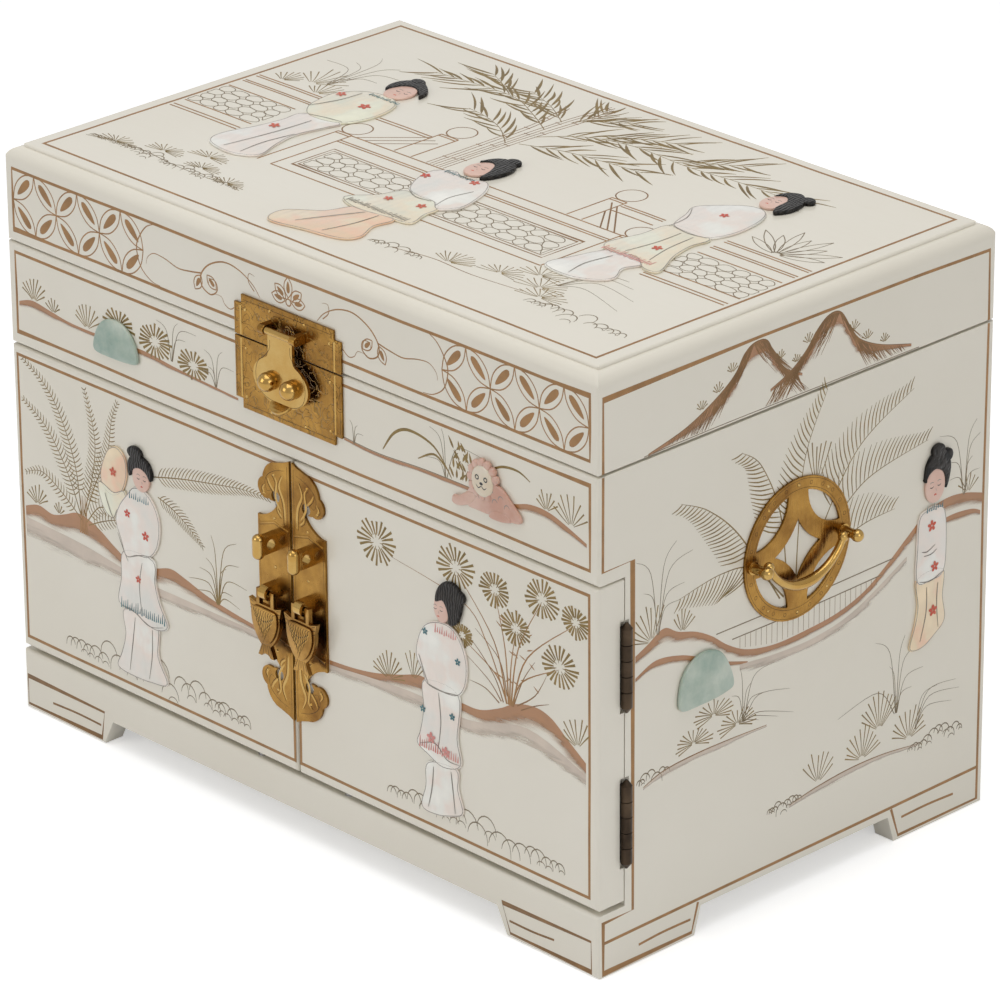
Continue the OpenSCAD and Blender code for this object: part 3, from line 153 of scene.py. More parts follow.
class Nodes:
    """A node tree, filled one node at a time: a value goes into its socket, a socket is linked to it."""

    def __init__(self, tree):
        self.tree = tree

    def put(self, node, socket, value):
        if isinstance(value, bpy.types.NodeSocket):
            self.tree.links.new(value, node.inputs[socket])
        else:
            node.inputs[socket].default_value = value

    def add(self, kind, inputs=None, **fields):
        node = self.tree.nodes.new(kind)
        for key, value in fields.items():
            setattr(node, key, value)
        for socket, value in (inputs or {}).items():
            self.put(node, socket, value)
        return node

    def math(self, operation, *inputs, **fields):
        """The result of one sum."""
        return self.add("ShaderNodeMath", dict(enumerate(inputs)), operation=operation, **fields).outputs[0]

    def noise(self, place, scale, detail, **more):
        inputs = {"Vector": place, "Scale": scale, "Detail": detail, **more}
        return self.add("ShaderNodeTexNoise", inputs).outputs["Fac"]

    def spread(self, value, low, high, to_low=0.0, to_high=1.0, **fields):
        """A value moved from one range to another."""
        inputs = {"Value": value, "From Min": low, "From Max": high, "To Min": to_low, "To Max": to_high}
        return self.add("ShaderNodeMapRange", inputs, **fields).outputs["Result"]

    def mix(self, factor, first, second, **fields):
        """Two colours mixed."""
        inputs = {"Factor": factor, "A": first, "B": second}
        return self.add("ShaderNodeMix", inputs, data_type="RGBA", **fields).outputs["Result"]

    def seen_rays(self):
        """1 for the rays that show the background: camera, glossy and transmission rays."""
        path = self.add("ShaderNodeLightPath").outputs
        seen = self.math("ADD", path["Is Camera Ray"], path["Is Glossy Ray"], use_clamp=True)
        return self.math("ADD", seen, path["Is Transmission Ray"], use_clamp=True)


class Shader(Nodes):
    """A material's node tree round its Principled shader."""

    def __init__(self, name):
        self.material = bpy.data.materials.new(f"box_{name}")
        self.material.use_nodes = True
        super().__init__(self.material.node_tree)
        self.surface = self.tree.nodes["Principled BSDF"]

    def place(self):
        return self.add("ShaderNodeTexCoord").outputs["Object"]

    def group(self, name, inputs, output):
        node = self.tree.nodes.new("ShaderNodeGroup")
        node.node_tree = bpy.data.node_groups[name]
        for socket, value in inputs.items():
            self.put(node, socket, value)
        return node.outputs[output]

    def mottle(self, place, first, second, scale, contrast):
        inputs = {"First": rgba(first), "Second": rgba(second), "Scale": scale, "Contrast": contrast}
        return self.group("Mottle", {**inputs, "Place": place}, "Colour")

    def set(self, **values):
        for key, value in values.items():
            self.put(self.surface, key.replace("_", " "), value)

    def bump(self, height, strength, distance):
        node = self.add("ShaderNodeBump", {"Height": height, "Strength": strength, "Distance": distance})
        self.put(self.surface, "Normal", node.outputs["Normal"])


def made_of(finish):
    """The material of that finish, named apart from the plain ones that come with the frame."""
    return bpy.data.materials[f"box_{finish}"]


def rgba(value):
    return (value[0], value[1], value[2], 1.0)


def new_group(name, inputs, output, kind):
    """A node group with named inputs and one named output: its nodes, inputs and output."""
    tree = bpy.data.node_groups.new(name, "ShaderNodeTree")
    for label, socket, default in inputs:
        made = tree.interface.new_socket(label, in_out="INPUT", socket_type=socket)
        if default is not None:
            made.default_value = default
    tree.interface.new_socket(output, in_out="OUTPUT", socket_type=kind)
    nodes = Nodes(tree)
    start, end = nodes.add("NodeGroupInput").outputs, nodes.add("NodeGroupOutput")
    return nodes, start, end


def build_mottle():
    """Two colours mixed in soft cloudy patches."""
    g, start, end = new_group(
        "Mottle",
        [
            ("First", "NodeSocketColor", (1, 1, 1, 1)),
            ("Second", "NodeSocketColor", (0, 0, 0, 1)),
            ("Scale", "NodeSocketFloat", 40.0),
            ("Contrast", "NodeSocketFloat", 1.0),
            ("Place", "NodeSocketVector", None),
        ],
        "Colour",
        "NodeSocketColor",
    )
    cloud = g.math("SUBTRACT", g.noise(start["Place"], start["Scale"], 6.0, Roughness=0.62), 0.5)
    amount = g.math("MULTIPLY_ADD", cloud, start["Contrast"], 0.5)
    g.put(end, "Colour", g.mix(amount, start["First"], start["Second"], clamp_factor=True))


def build_scratches():
    """A mask of fine crossing scratches and handling marks."""
    g, start, end = new_group(
        "Scratches",
        [("Place", "NodeSocketVector", None), ("Scale", "NodeSocketFloat", 60.0)],
        "Mask",
        "NodeSocketFloat",
    )
    marks = []
    for turn, stretch in ((0.5, 14.0), (1.9, 9.0)):
        inputs = {"Rotation": (turn, turn * 0.6, turn * 1.3), "Scale": (1.0, stretch, 1.0)}
        turned = g.add("ShaderNodeMapping", {"Vector": start["Place"], **inputs})
        marks.append(g.noise(turned.outputs["Vector"], start["Scale"], 3.0))
    g.put(end, "Mask", g.math("MULTIPLY", *marks))


def build_lacquer_tone():
    """The lacquer's own slightly uneven off-white."""
    g, start, end = new_group(
        "Lacquer tone",
        [("Tone", "NodeSocketColor", (1, 1, 1, 1)), ("Place", "NodeSocketVector", None)],
        "Colour",
        "NodeSocketColor",
    )
    ramp = g.add("ShaderNodeValToRGB", {"Fac": g.noise(start["Place"], 9.0, 5.0)})
    low, high = ramp.color_ramp.elements
    low.position, low.color = 0.3, (0.955, 0.945, 0.925, 1)
    high.position, high.color = 0.7, (1.0, 1.0, 1.0, 1)
    g.put(end, "Colour", g.mix(1.0, start["Tone"], ramp.outputs["Color"], blend_type="MULTIPLY"))


def lacquer_material():
    s = Shader("lacquer")
    place = s.place()
    tone = rgba(settings().box_paint.lacquer)
    s.set(Base_Color=s.group("Lacquer tone", {"Tone": tone, "Place": place}, "Colour"))
    lacquer_gloss(s, place)


def lacquer_gloss(s, place):
    """The shine, handling marks and orange peel of the lacquer."""
    scratch = s.group("Scratches", {"Place": place, "Scale": 45.0}, "Mask")
    s.set(Roughness=s.spread(scratch, 0.15, 0.4, 0.30, 0.40), Coat_Weight=0.45, Coat_Roughness=0.10)
    s.set(Specular_IOR_Level=0.42)
    s.bump(s.noise(place, 420.0, 3.0), 0.10, 0.0002)


def paint_material(name, base, other, metal, rough):
    """Brushed-on paint whose colour thins and gathers along the stroke."""
    s = Shader(name)
    place = s.place()
    tone = s.mottle(place, base, other, 130.0, 2.6)
    s.set(Base_Color=tone, Metallic=metal, Roughness=rough, Specular_IOR_Level=0.35)
    s.bump(s.noise(place, 900.0, 2.0), 0.25, 0.0001)


def wash_material(name, base, streak):
    """A wash that is full at its upper edge and thins downwards until the lacquer shows."""
    s = Shader(name)
    place = s.place()
    fade = s.add("ShaderNodeAttribute", attribute_name="fade").outputs["Fac"]
    long = s.add("ShaderNodeMapping", {"Vector": place, "Scale": (22.0, 22.0, 170.0)})
    ragged = s.math("MULTIPLY_ADD", s.noise(long.outputs["Vector"], 3.0, 5.0), streak, fade)
    low = 0.30 + 0.5 * streak
    cover = s.spread(ragged, low, low + 0.5, 1.0, 0.0, interpolation_type="SMOOTHSTEP")
    edge = s.spread(fade, 0.85, 0.99, 1.0, 0.0)
    tone = s.mottle(place, base, [c * 1.35 for c in base], 60.0, 2.0)
    s.set(Base_Color=tone, Alpha=s.math("MULTIPLY", cover, edge))
    lacquer_gloss(s, place)


def nacre_material(name, base, tint):
    """Pearly shell with drifting tints and growth lines."""
    s = Shader(name)
    place = s.place()
    ramp = s.add("ShaderNodeValToRGB", {"Fac": s.noise(place, 55.0, 3.0)})
    stops = ramp.color_ramp.elements
    stops[0].position, stops[0].color = 0.30, rgba([c * 0.88 for c in base])
    stops[1].position, stops[1].color = 0.72, rgba([min(1.0, c * 1.12) for c in base])
    for position, tone in ((0.48, tint), (0.57, base)):
        stops.new(position).color = rgba(tone)
    wave = s.add(
        "ShaderNodeTexWave",
        {"Vector": place, "Scale": 90.0, "Distortion": 5.0, "Detail": 2.0, "Detail Scale": 0.6},
    )
    s.set(Base_Color=ramp.outputs["Color"], Roughness=0.22, Coat_Weight=0.8, Coat_Roughness=0.05)
    s.set(Specular_IOR_Level=0.6, Sheen_Weight=0.2, Sheen_Roughness=0.3)
    s.bump(wave.outputs["Fac"], 0.18, 0.0003)


def stone_material(name, base, pale, scale):
    s = Shader(name)
    place = s.place()
    s.set(Base_Color=s.mottle(place, base, pale, scale, 3.4), Roughness=0.28, Coat_Weight=0.4)
    s.set(Coat_Roughness=0.12, Subsurface_Weight=0.08, Subsurface_Scale=0.002)
    s.bump(s.noise(place, 300.0, 4.0), 0.25, 0.0003)


def brass_material(name, base, tarnish, contrast, low, high, chased=0.0):
    """Hand-polished brass: cloudy colour, duller patches, scratches and, if chased, winding grooves."""
    s = Shader(name)
    place = s.place()
    tone = s.mottle(place, base, tarnish, 75.0, contrast)
    scratch = s.group("Scratches", {"Place": place, "Scale": 120.0}, "Mask")
    rough = s.spread(scratch, 0.12, 0.42, low, high)
    height, strength = s.math("ADD", scratch, s.noise(place, 210.0, 2.0)), 0.3
    if chased:
        swirl = s.math("SUBTRACT", s.noise(place, chased, 1.0, Distortion=1.3), 0.5)
        groove = s.spread(s.math("ABSOLUTE", swirl), 0.006, 0.030)
        # Chased grooves darkened towards half the base colour: painted shade in the cuts, with the dirt that
        # gathers there
        tone = s.mix(groove, rgba([c * 0.55 for c in base]), tone)
        height, strength = s.math("MULTIPLY_ADD", groove, 1.4, height), 0.5
    s.set(Base_Color=tone, Metallic=1.0, Roughness=rough)
    s.bump(height, strength, 0.0003)


def hair_material():
    """Black carved hair: fine strands and a soft shine."""
    s = Shader("hair")
    strand = s.add(
        "ShaderNodeTexWave", {"Vector": s.place(), "Scale": 260.0, "Distortion": 7.0, "Detail": 2.0}
    ).outputs["Fac"]
    tone = s.add("ShaderNodeValToRGB", {"Fac": strand})
    tone.color_ramp.elements[0].color = (0.002, 0.002, 0.002, 1)
    tone.color_ramp.elements[1].color = (0.020, 0.016, 0.013, 1)
    s.set(Base_Color=tone.outputs["Color"], Roughness=0.30, Specular_IOR_Level=0.22)
    s.bump(strand, 0.7, 0.0004)


def velvet_material():
    s = Shader("velvet")
    place = s.place()
    base = settings().box_inside.velvet
    tone = s.mottle(place, base, [c * 0.55 for c in base], 28.0, 2.2)
    s.set(Base_Color=tone, Roughness=0.92, Specular_IOR_Level=0.1)
    s.set(Sheen_Weight=0.9, Sheen_Roughness=0.35, Sheen_Tint=(0.95, 0.45, 0.45, 1))
    s.bump(s.noise(place, 1500.0, 3.0), 0.6, 0.0004)


def plain_material(name, base, other, rough, metal=0.0, coat=0.0):
    s = Shader(name)
    place = s.place()
    tone = s.mottle(place, base, other, 80.0, 2.0)
    s.set(Base_Color=tone, Roughness=rough, Metallic=metal, Coat_Weight=coat, Coat_Roughness=0.1)
    s.bump(s.noise(place, 700.0, 3.0), 0.12, 0.0002)


def mirror_material():
    s = Shader("mirror")
    rough = s.spread(s.noise(s.place(), 16.0, 4.0), 0.0, 1.0, 0.01, 0.05)
    s.set(Base_Color=(0.86, 0.88, 0.88, 1), Metallic=1.0, Roughness=rough)


def tulle_material():
    s = Shader("tulle")
    inputs = {"Vector": s.place(), "Scale": 900.0}
    net = s.add("ShaderNodeTexVoronoi", inputs, feature="DISTANCE_TO_EDGE").outputs["Distance"]
    tone = rgba(settings().box_inside.tulle)
    s.set(Base_Color=tone, Roughness=0.7, Sheen_Weight=0.6, Alpha=s.spread(net, 0.03, 0.2, 0.95, 0.55))


class BOX_OT_finishes(Operator):
    """Make every finish and give it to the case, the doors, the metal and the linings"""

    bl_idname = "jewel_box.finishes"
    bl_label = "Finishes"

    def execute(self, context):
        paint, relief = context.scene.box_paint, context.scene.box_relief
        metal, inside = context.scene.box_brass, context.scene.box_inside
        build_mottle()
        build_scratches()
        build_lacquer_tone()
        lacquer_material()
        paint_material("line_gold", paint.line, [c * 1.5 for c in paint.line], 0.25, 0.42)
        paint_material("leaf_gold", paint.olive, [c * 1.7 for c in paint.olive], 0.35, 0.40)
        paint_material("fine_line", paint.fine, [c * 1.5 for c in paint.fine], 0.1, 0.5)
        paint_material("stem_gold", [c * 1.1 for c in paint.line], [c * 0.65 for c in paint.line], 0.2, 0.45)
        paint_material("black_ink", (0.012, 0.010, 0.010), (0.03, 0.026, 0.024), 0.0, 0.35)
        paint_material("red_ink", (0.55, 0.045, 0.028), (0.62, 0.16, 0.09), 0.0, 0.4)
        paint_material("blue_ink", (0.030, 0.11, 0.135), (0.09, 0.22, 0.24), 0.0, 0.4)
        paint_material("pink_ink", (0.62, 0.20, 0.18), (0.70, 0.34, 0.30), 0.0, 0.4)
        paint_material("grey_ink", (0.17, 0.15, 0.13), (0.32, 0.29, 0.25), 0.0, 0.45)
        wash_material("earth_wash", paint.earth, 0.5)
        wash_material("shade_wash", paint.shade, 0.7)
        nacre_material("nacre", relief.nacre, (0.80, 0.70, 0.62))
        nacre_material("warm_nacre", relief.warm_nacre, (0.82, 0.52, 0.34))
        nacre_material("green_nacre", (0.76, 0.75, 0.58), (0.80, 0.69, 0.50))
        stone_material("jade_stone", relief.jade, (0.50, 0.56, 0.47), 42.0)
        stone_material("soapstone", relief.soapstone, (0.66, 0.44, 0.35), 60.0)
        stone_material("bone", (0.66, 0.54, 0.38), (0.72, 0.64, 0.52), 60.0)
        plain_material("face", (0.66, 0.40, 0.31), (0.74, 0.52, 0.43), 0.35, coat=0.3)
        hair_material()
        brass_material("sheet_brass", metal.sheet, metal.tarnish, 2.2, 0.18, 0.36)
        brass_material("chased_brass", metal.sheet, metal.tarnish, 2.2, 0.18, 0.36, 210.0)
        brass_material("cast_brass", metal.cast, metal.sheet, 2.2, 0.12, 0.26)
        brass_material("old_brass", (0.42, 0.24, 0.066), (0.17, 0.084, 0.022), 2.8, 0.20, 0.38)
        brass_material("dark_brass", (0.075, 0.052, 0.034), (0.022, 0.016, 0.012), 2.6, 0.30, 0.5)
        brass_material("wheel_brass", (0.72, 0.50, 0.20), (0.52, 0.33, 0.11), 1.6, 0.2, 0.35)
        brass_material("steel", (0.44, 0.44, 0.45), (0.28, 0.28, 0.29), 1.6, 0.22, 0.4)
        # Near-black brass for the engraved and shadow lines: painted shade of cuts and beside raised work,
        # with the dirt that sits in engraving
        plain_material("shade_and_grime_line", (0.05, 0.022, 0.006), (0.02, 0.010, 0.004), 0.5, metal=0.8)
        plain_material("inner_board", (0.62, 0.57, 0.46), (0.54, 0.49, 0.39), 0.5)
        plain_material("satin", (0.78, 0.36, 0.42), (0.86, 0.52, 0.56), 0.35, coat=0.2)
        plain_material("skin", inside.skin, [min(1, c * 1.1) for c in inside.skin], 0.45)
        velvet_material()
        mirror_material()
        tulle_material()
        dress = {
            "lacquer": "side_panel_left side_panel_right base_rail fascia_board back_panel "
            "lid_frame lid_top door_left door_right",
            "inner_board": "cabinet_floor tray_floor bay_partition cabinet_divider cabinet_shelf",
            "velvet": "cabinet_lining tray_lining tray_dividers lid_lining ring_rolls",
            "chased_brass": "clasp_plate_lower clasp_plate_upper",
            "sheet_brass": "door_plate_left door_plate_right handle_plates hasp_bracket lid_hinge_case_leaves "
            "lid_hinge_leaves lid_hinge_pins",
            "cast_brass": "handle_posts door_staples_left door_staples_right hasp_studs "
            "hasp_plate handle_bail_left handle_bail_right necklace_hooks stop_slider",
            "old_brass": "fish_pull_left fish_pull_right",
            "dark_brass": "door_hinge_case_leaves door_hinge_leaves_left "
            "door_hinge_leaves_right door_hinge_pins",
            "steel": "movement_bedplate movement_bracket spring_barrel comb movement_screws "
            "mainspring winding_arbor winding_key door_magnets",
            "wheel_brass": "crown_wheel cylinder_arbor music_cylinder idler_arbor governor_fan",
            "mirror": "lid_mirror",
            "skin": "dancer_figure",
            "tulle": "dancer_tutu",
        }
        for finish, names in dress.items():
            for node in names.split():
                coat(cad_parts[node], finish)
        return {"FINISHED"}


# ---- brushwork ---------------------------------------------------------------------------


def smooth(points, steps=6, closed=False):
    """A soft line through the given points."""
    n = len(points)
    if n < 3:
        return [tuple(p) for p in points]
    out = []
    for i in range(n if closed else n - 1):
        if closed:
            p0, p1, p2, p3 = (points[(i + k - 1) % n] for k in range(4))
        else:
            p0, p1, p2, p3 = (points[min(max(i + k - 1, 0), n - 1)] for k in range(4))
        for k in range(steps):
            t = k / steps
            out.append(tuple(
                0.5 * (2 * b + (c - a) * t + (2 * a - 5 * b + 4 * c - d) * t * t
                       + (3 * b - a - 3 * c + d) * t ** 3)
                for a, b, c, d in zip(p0, p1, p2, p3)
            ))
    if not closed:
        out.append(tuple(points[-1]))
    return out


TOUCH = {
    "even": lambda t: 1.0,
    "brush": lambda t: 0.35 + 0.65 * math.sin(math.pi * t ** 0.8),
    "flick": lambda t: 0.12 + 0.88 * (1 - t) ** 0.7,
    "club": lambda t: 0.30 + 0.70 * t ** 0.8,
    "leaf": lambda t: 0.04 + 0.96 * math.sin(math.pi * t ** 0.75) ** 0.8,
}


class Brush:
    """Collects the painted strokes and washes of one face, then makes them into pieces."""

    def __init__(self, name, body, place):
        self.name, self.body, self.place = name, body, place
        self.out = place(0, 0, 1) - place(0, 0, 0)
        self.work = {}
        self.layer, self.lift = 0.02, 0.0
        self.rise = settings().box_paint.paint_rise

    def add(self, paint, points, fades, faces):
        verts, marks, polys = self.work.setdefault(paint, ([], [], []))
        base = len(verts)
        verts.extend(self.place(x, y, h + self.lift) for x, y, h in points)
        marks.extend(fades)
        polys.extend(tuple(i + base for i in f) for f in faces)

    def stroke(self, paint, line, width, touch="brush", closed=False, rise=None):
        """One painted line, domed across and thinning along its length."""
        rise = self.rise if rise is None else rise
        n = len(line)
        points, faces = [], []
        for i, p in enumerate(line):
            a = line[(i - 1) % n] if closed or i > 0 else p
            b = line[(i + 1) % n] if closed or i < n - 1 else p
            d = Vector((b[0] - a[0], b[1] - a[1]))
            if d.length < 1e-9:
                d = Vector((1, 0))
            d.normalize()
            side = Vector((-d.y, d.x)) * width * 0.5 * TOUCH[touch](i / max(1, n - 1))
            if closed or 0 < i < n - 1:
                first = Vector((p[0] - a[0], p[1] - a[1]))
                if first.length > 1e-9:
                    side /= max(0.5, abs(first.normalized().dot(d)))
            points += [(p[0] + side.x, p[1] + side.y, -0.01), (p[0], p[1], rise),
                       (p[0] - side.x, p[1] - side.y, -0.01)]
        for i in range(n if closed else n - 1):
            a, b = 3 * i, 3 * ((i + 1) % n)
            faces += [(a, a + 1, b + 1, b), (a + 1, a + 2, b + 2, b + 1)]
        self.add(paint, points, [0.0] * len(points), faces)

    def curve(self, paint, points, width, touch="brush", closed=False, steps=6):
        self.stroke(paint, smooth(points, steps, closed), width, touch, closed)

    def next_layer(self):
        """Each wash lies a little above the one before it."""
        self.layer += 0.004
        return self.layer

    def wash(self, paint, outline):
        height = self.next_layer()
        faces = tessellate_polygon([[Vector((p[0], p[1], 0)) for p in outline]])
        self.add(paint, [(p[0], p[1], height) for p in outline], [0.0] * len(outline), faces)

    def leaf(self, paint, x, y, angle, length, width, bend=0.0):
        """One pointed leaf laid down with a single press of the brush."""
        a = math.radians(angle)
        line = []
        for k in range(7):
            t = k / 6
            off = bend * math.sin(math.pi * t)
            line.append((x + length * t * math.cos(a) - off * math.sin(a),
                         y + length * t * math.sin(a) + off * math.cos(a)))
        self.stroke(paint, line, width, "leaf")

    def ridge(self, line, depth, paint="earth_wash"):
        """A hill: full colour along its crest, fading downwards over the given depth."""
        rows, height = 6, self.next_layer()
        top = smooth([(x, y, d) for (x, y), d in zip(line, depth)])
        points, fades, faces = [], [], []
        for k in range(rows + 1):
            for x, y, d in top:
                points.append((x, y - d * k / rows, height))
                fades.append(k / rows)
        n = len(top)
        for k in range(rows):
            for i in range(n - 1):
                faces.append((k * n + i, k * n + i + 1, (k + 1) * n + i + 1, (k + 1) * n + i))
        self.add(paint, points, fades, faces)

    def finish(self):
        made = []
        for paint, (verts, marks, polys) in self.work.items():
            mesh = bpy.data.meshes.new(f"{self.name}_{paint}")
            fixed = []
            for f in polys:
                a, b, c = (verts[i] for i in f[:3])
                up = (b - a).cross(c - a).dot(self.out) >= 0
                fixed.append(f if up else tuple(reversed(f)))
            mesh.from_pydata(verts, [], fixed)
            mesh.attributes.new("fade", "FLOAT", "POINT").data.foreach_set("value", marks)
            mesh.materials.append(made_of(paint))
            mesh.update()
            piece = new_piece(mesh.name, mesh)
            mesh.shade_smooth()
            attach(piece, self.body)
            made.append(piece)
        return made


def front_face(level=0.0):
    return lambda u, v, h: Vector((u, -FRONT - level - h, v)) * MM


def top_face(u, v, h):
    return Vector((u, v, TOP + h)) * MM


def side_face(side, level=0.0):
    return lambda u, v, h: Vector((side * (SIDE + level + h), u, v)) * MM


# ---- motifs ------------------------------------------------------------------------------


def arc(cx, cy, r, a0, a1, n=12, ry=None):
    ry = r if ry is None else ry
    return [(cx + r * math.cos(math.radians(a0 + (a1 - a0) * k / n)),
             cy + ry * math.sin(math.radians(a0 + (a1 - a0) * k / n))) for k in range(n + 1)]


def polar(x, y, r, angle):
    return (x + r * math.cos(math.radians(angle)), y + r * math.sin(math.radians(angle)))


def fan(b, x, y, r, a0=20, a1=160, n=9, w=0.75, paint="leaf_gold", inner=0.12, flat=1.0):
    """Straight leaf strokes that spread from one point."""
    rng = random.Random(int(x * 7 + y))
    for k in range(n):
        a = a0 + (a1 - a0) * (k + 0.5) / n + rng.uniform(-2, 2)
        length = r * rng.uniform(0.85, 1.05) * (0.72 + 0.28 * math.sin(math.radians(a)) ** 2
                                                if a1 - a0 < 200 else 1.0)
        p, q = polar(0, 0, r * inner, a), polar(0, 0, length, a)
        m = polar(0, 0, length * 0.55, a + rng.uniform(-3, 3))
        b.curve(paint, [(x + p[0], y + p[1] * flat), (x + m[0], y + m[1] * flat),
                        (x + q[0], y + q[1] * flat)], w, "club", steps=3)


def palm_head(b, x, y, r, flat=0.9, n=22):
    """A round head of leaves seen from above, with a small heart."""
    fan(b, x, y, r, 0, 360, n, 1.2, inner=0.3, flat=flat)
    for k in range(7):
        p = polar(x, y, r * 0.16, k * 51)
        b.stroke("leaf_gold", [p, polar(x, y, r * 0.34, k * 51)], 0.6, "club")


def frond(b, points, leaf, gap=2.0, w=0.72, sides=(1, -1), sweep=70, paint="leaf_gold", start=0.15):
    """A bending stem with a comb of small leaves along one or both sides."""
    line = smooth(points, 14)
    b.stroke(paint, line, w * 1.25, "flick")
    lengths = [0.0]
    for p, q in zip(line, line[1:]):
        lengths.append(lengths[-1] + math.dist(p, q))
    total = lengths[-1]
    at = total * start
    k = 0
    while at < total:
        while lengths[k + 1] < at:
            k += 1
        p, q = line[k], line[k + 1]
        t = (at - lengths[k]) / max(1e-9, lengths[k + 1] - lengths[k])
        x, y = p[0] + (q[0] - p[0]) * t, p[1] + (q[1] - p[1]) * t
        heading = math.degrees(math.atan2(q[1] - p[1], q[0] - p[0]))
        f = at / total
        size = leaf * (0.55 + 0.45 * math.sin(math.pi * min(1.0, f * 1.1))) * (1.15 - 0.55 * f)
        for s in sides:
            tip = polar(x, y, size, heading + s * (sweep - 18 * f))
            mid = polar(x, y, size * 0.5, heading + s * (sweep - 18 * f + 7))
            b.curve(paint, [(x, y), mid, tip], w, "brush", steps=3)
        at += gap


def reeds(b, x, y, tips, w=0.42, paint="fine_line"):
    """Thin grass blades that rise together and bow over to their tips."""
    for tx, ty in tips:
        up = y + (ty - y) * 0.72 + abs(tx - x) * 0.18
        b.curve(paint, [(x + (tx - x) * 0.03, y), (x + (tx - x) * 0.32, up), (tx, ty)], w, "flick")


def curls(b, x0, x1, y, r, seed):
    """Overlapping scallops of low grass."""
    rng = random.Random(seed)
    x = x0
    while x < x1:
        f = (x - x0) / (x1 - x0)
        size = r * (0.6 + 0.6 * math.sin(math.pi * f)) * rng.uniform(0.8, 1.2)
        rise = y + rng.uniform(-0.6, 1.0) * size * math.sin(math.pi * f)
        lean = 1 if f > 0.45 else -1
        a0, a1 = (175, 5) if lean > 0 else (5, 175)
        line = arc(x, rise, size * 0.85, a0, a1, 9, size)
        line.append((line[-1][0] + lean * 0.1, line[-1][1] - size * rng.uniform(0.1, 0.5)))
        b.stroke("fine_line", line, 0.55, "brush")
        if rng.random() < 0.45:
            inner = arc(x + size * 0.3, rise - size * 0.4, size * 0.5, 170, 10, 7)
            b.stroke("fine_line", inner, 0.42, "brush")
        x += size * rng.uniform(0.75, 1.15)


def petal(b, p, q, bulge, w=0.55, core=True, paint="line_gold"):
    """A lens between two points, with a filled heart."""
    mx, my = (p[0] + q[0]) / 2, (p[1] + q[1]) / 2
    d = Vector((q[0] - p[0], q[1] - p[1]))
    n = Vector((-d.y, d.x)).normalized() * bulge
    for s in (1, -1):
        b.curve(paint, [p, (p[0] + d.x * 0.25 + s * n.x * 0.78, p[1] + d.y * 0.25 + s * n.y * 0.78),
                        (mx + s * n.x, my + s * n.y),
                        (q[0] - d.x * 0.25 + s * n.x * 0.78, q[1] - d.y * 0.25 + s * n.y * 0.78), q],
                w, "even", steps=3)
    if core:
        a = (p[0] + d.x * 0.22, p[1] + d.y * 0.22)
        c = (q[0] - d.x * 0.20, q[1] - d.y * 0.20)
        b.stroke(paint, smooth([a, (mx, my), c], 5), bulge * 0.95, "leaf")


def coin_band(b, x, y, n, r):
    """A row of interlaced coins: four petals to each."""
    for k in range(n):
        cx = x + (2 * k + 1) * r
        for sx in (-1, 1):
            for sy in (-1, 1):
                petal(b, (cx, y + sy * r), (cx + sx * r, y), r * 0.30)


def box_line(b, x0, y0, x1, y1, w=None, paint="line_gold", seed=1):
    """A hand-drawn rectangular border with soft corners."""
    w = settings().box_paint.border_width if w is None else w
    rng = random.Random(seed)
    corners = [(x0, y0), (x1, y0), (x1, y1), (x0, y1)]
    line = []
    for i, (ax, ay) in enumerate(corners):
        bx, by = corners[(i + 1) % 4]
        steps = max(2, int(math.dist((ax, ay), (bx, by)) / 22))
        for k in range(steps):
            t = k / steps
            wob = 0.0 if k == 0 else rng.uniform(-0.16, 0.16)
            line.append((ax + (bx - ax) * t + wob * (by != ay), ay + (by - ay) * t + wob * (bx != ax)))
    b.stroke(paint, line, w, "even", closed=True)


def bud(b, x, y, angle, length):
    q = polar(x, y, length, angle)
    petal(b, (x, y), q, length * 0.3, 0.5)


def flower_head(b, x, y, r):
    for a in (90, 142, 38, 172, 8):
        petal(b, polar(x, y, r * 0.18, a), polar(x, y, r * (1.0 if a == 90 else 0.92), a), r * 0.22, 0.5)
    b.stroke("line_gold", arc(x, y, r * 0.14, 0, 360, 10), 0.6, "even")


def vine(b, s):
    """The scroll beside the clasp; s = -1 draws the left one."""
    def m(points):
        return [(s * x, y) for x, y in points]
    b.curve("line_gold", m([(15, 209), (19, 213), (26, 216.4), (34, 217.2), (42, 214), (46.5, 209),
                            (46, 204.5), (41.5, 202.6), (38, 205), (38.6, 208.2), (41.6, 208.6),
                            (42.6, 206.6)]), 0.7, "brush")
    b.curve("line_gold", m([(46.5, 209.5), (52, 208.5), (59, 207.8), (66, 209.4), (72, 209.8),
                            (75.6, 207.4), (76.4, 204.6)]), 0.7, "flick")
    b.curve("line_gold", m([(18, 210.5), (21, 213.5), (20.6, 216.6), (17.6, 216.4)]), 0.55, "flick")
    b.curve("line_gold", m([(28, 202), (31, 200), (34, 201), (36, 203.5), (40.8, 203.2)]), 0.5, "flick")
    b.curve("line_gold", m([(71, 221.4), (76, 219), (80, 214), (81.6, 209.3), (79.5, 202.5),
                            (74, 198.6), (69, 197.9)]), 0.65, "brush")
    bud(b, s * 38.4, 205.2, 90 - s * 48, 6.6)
    bud(b, s * 46.6, 208.6, 90 + s * -152, 7.0)


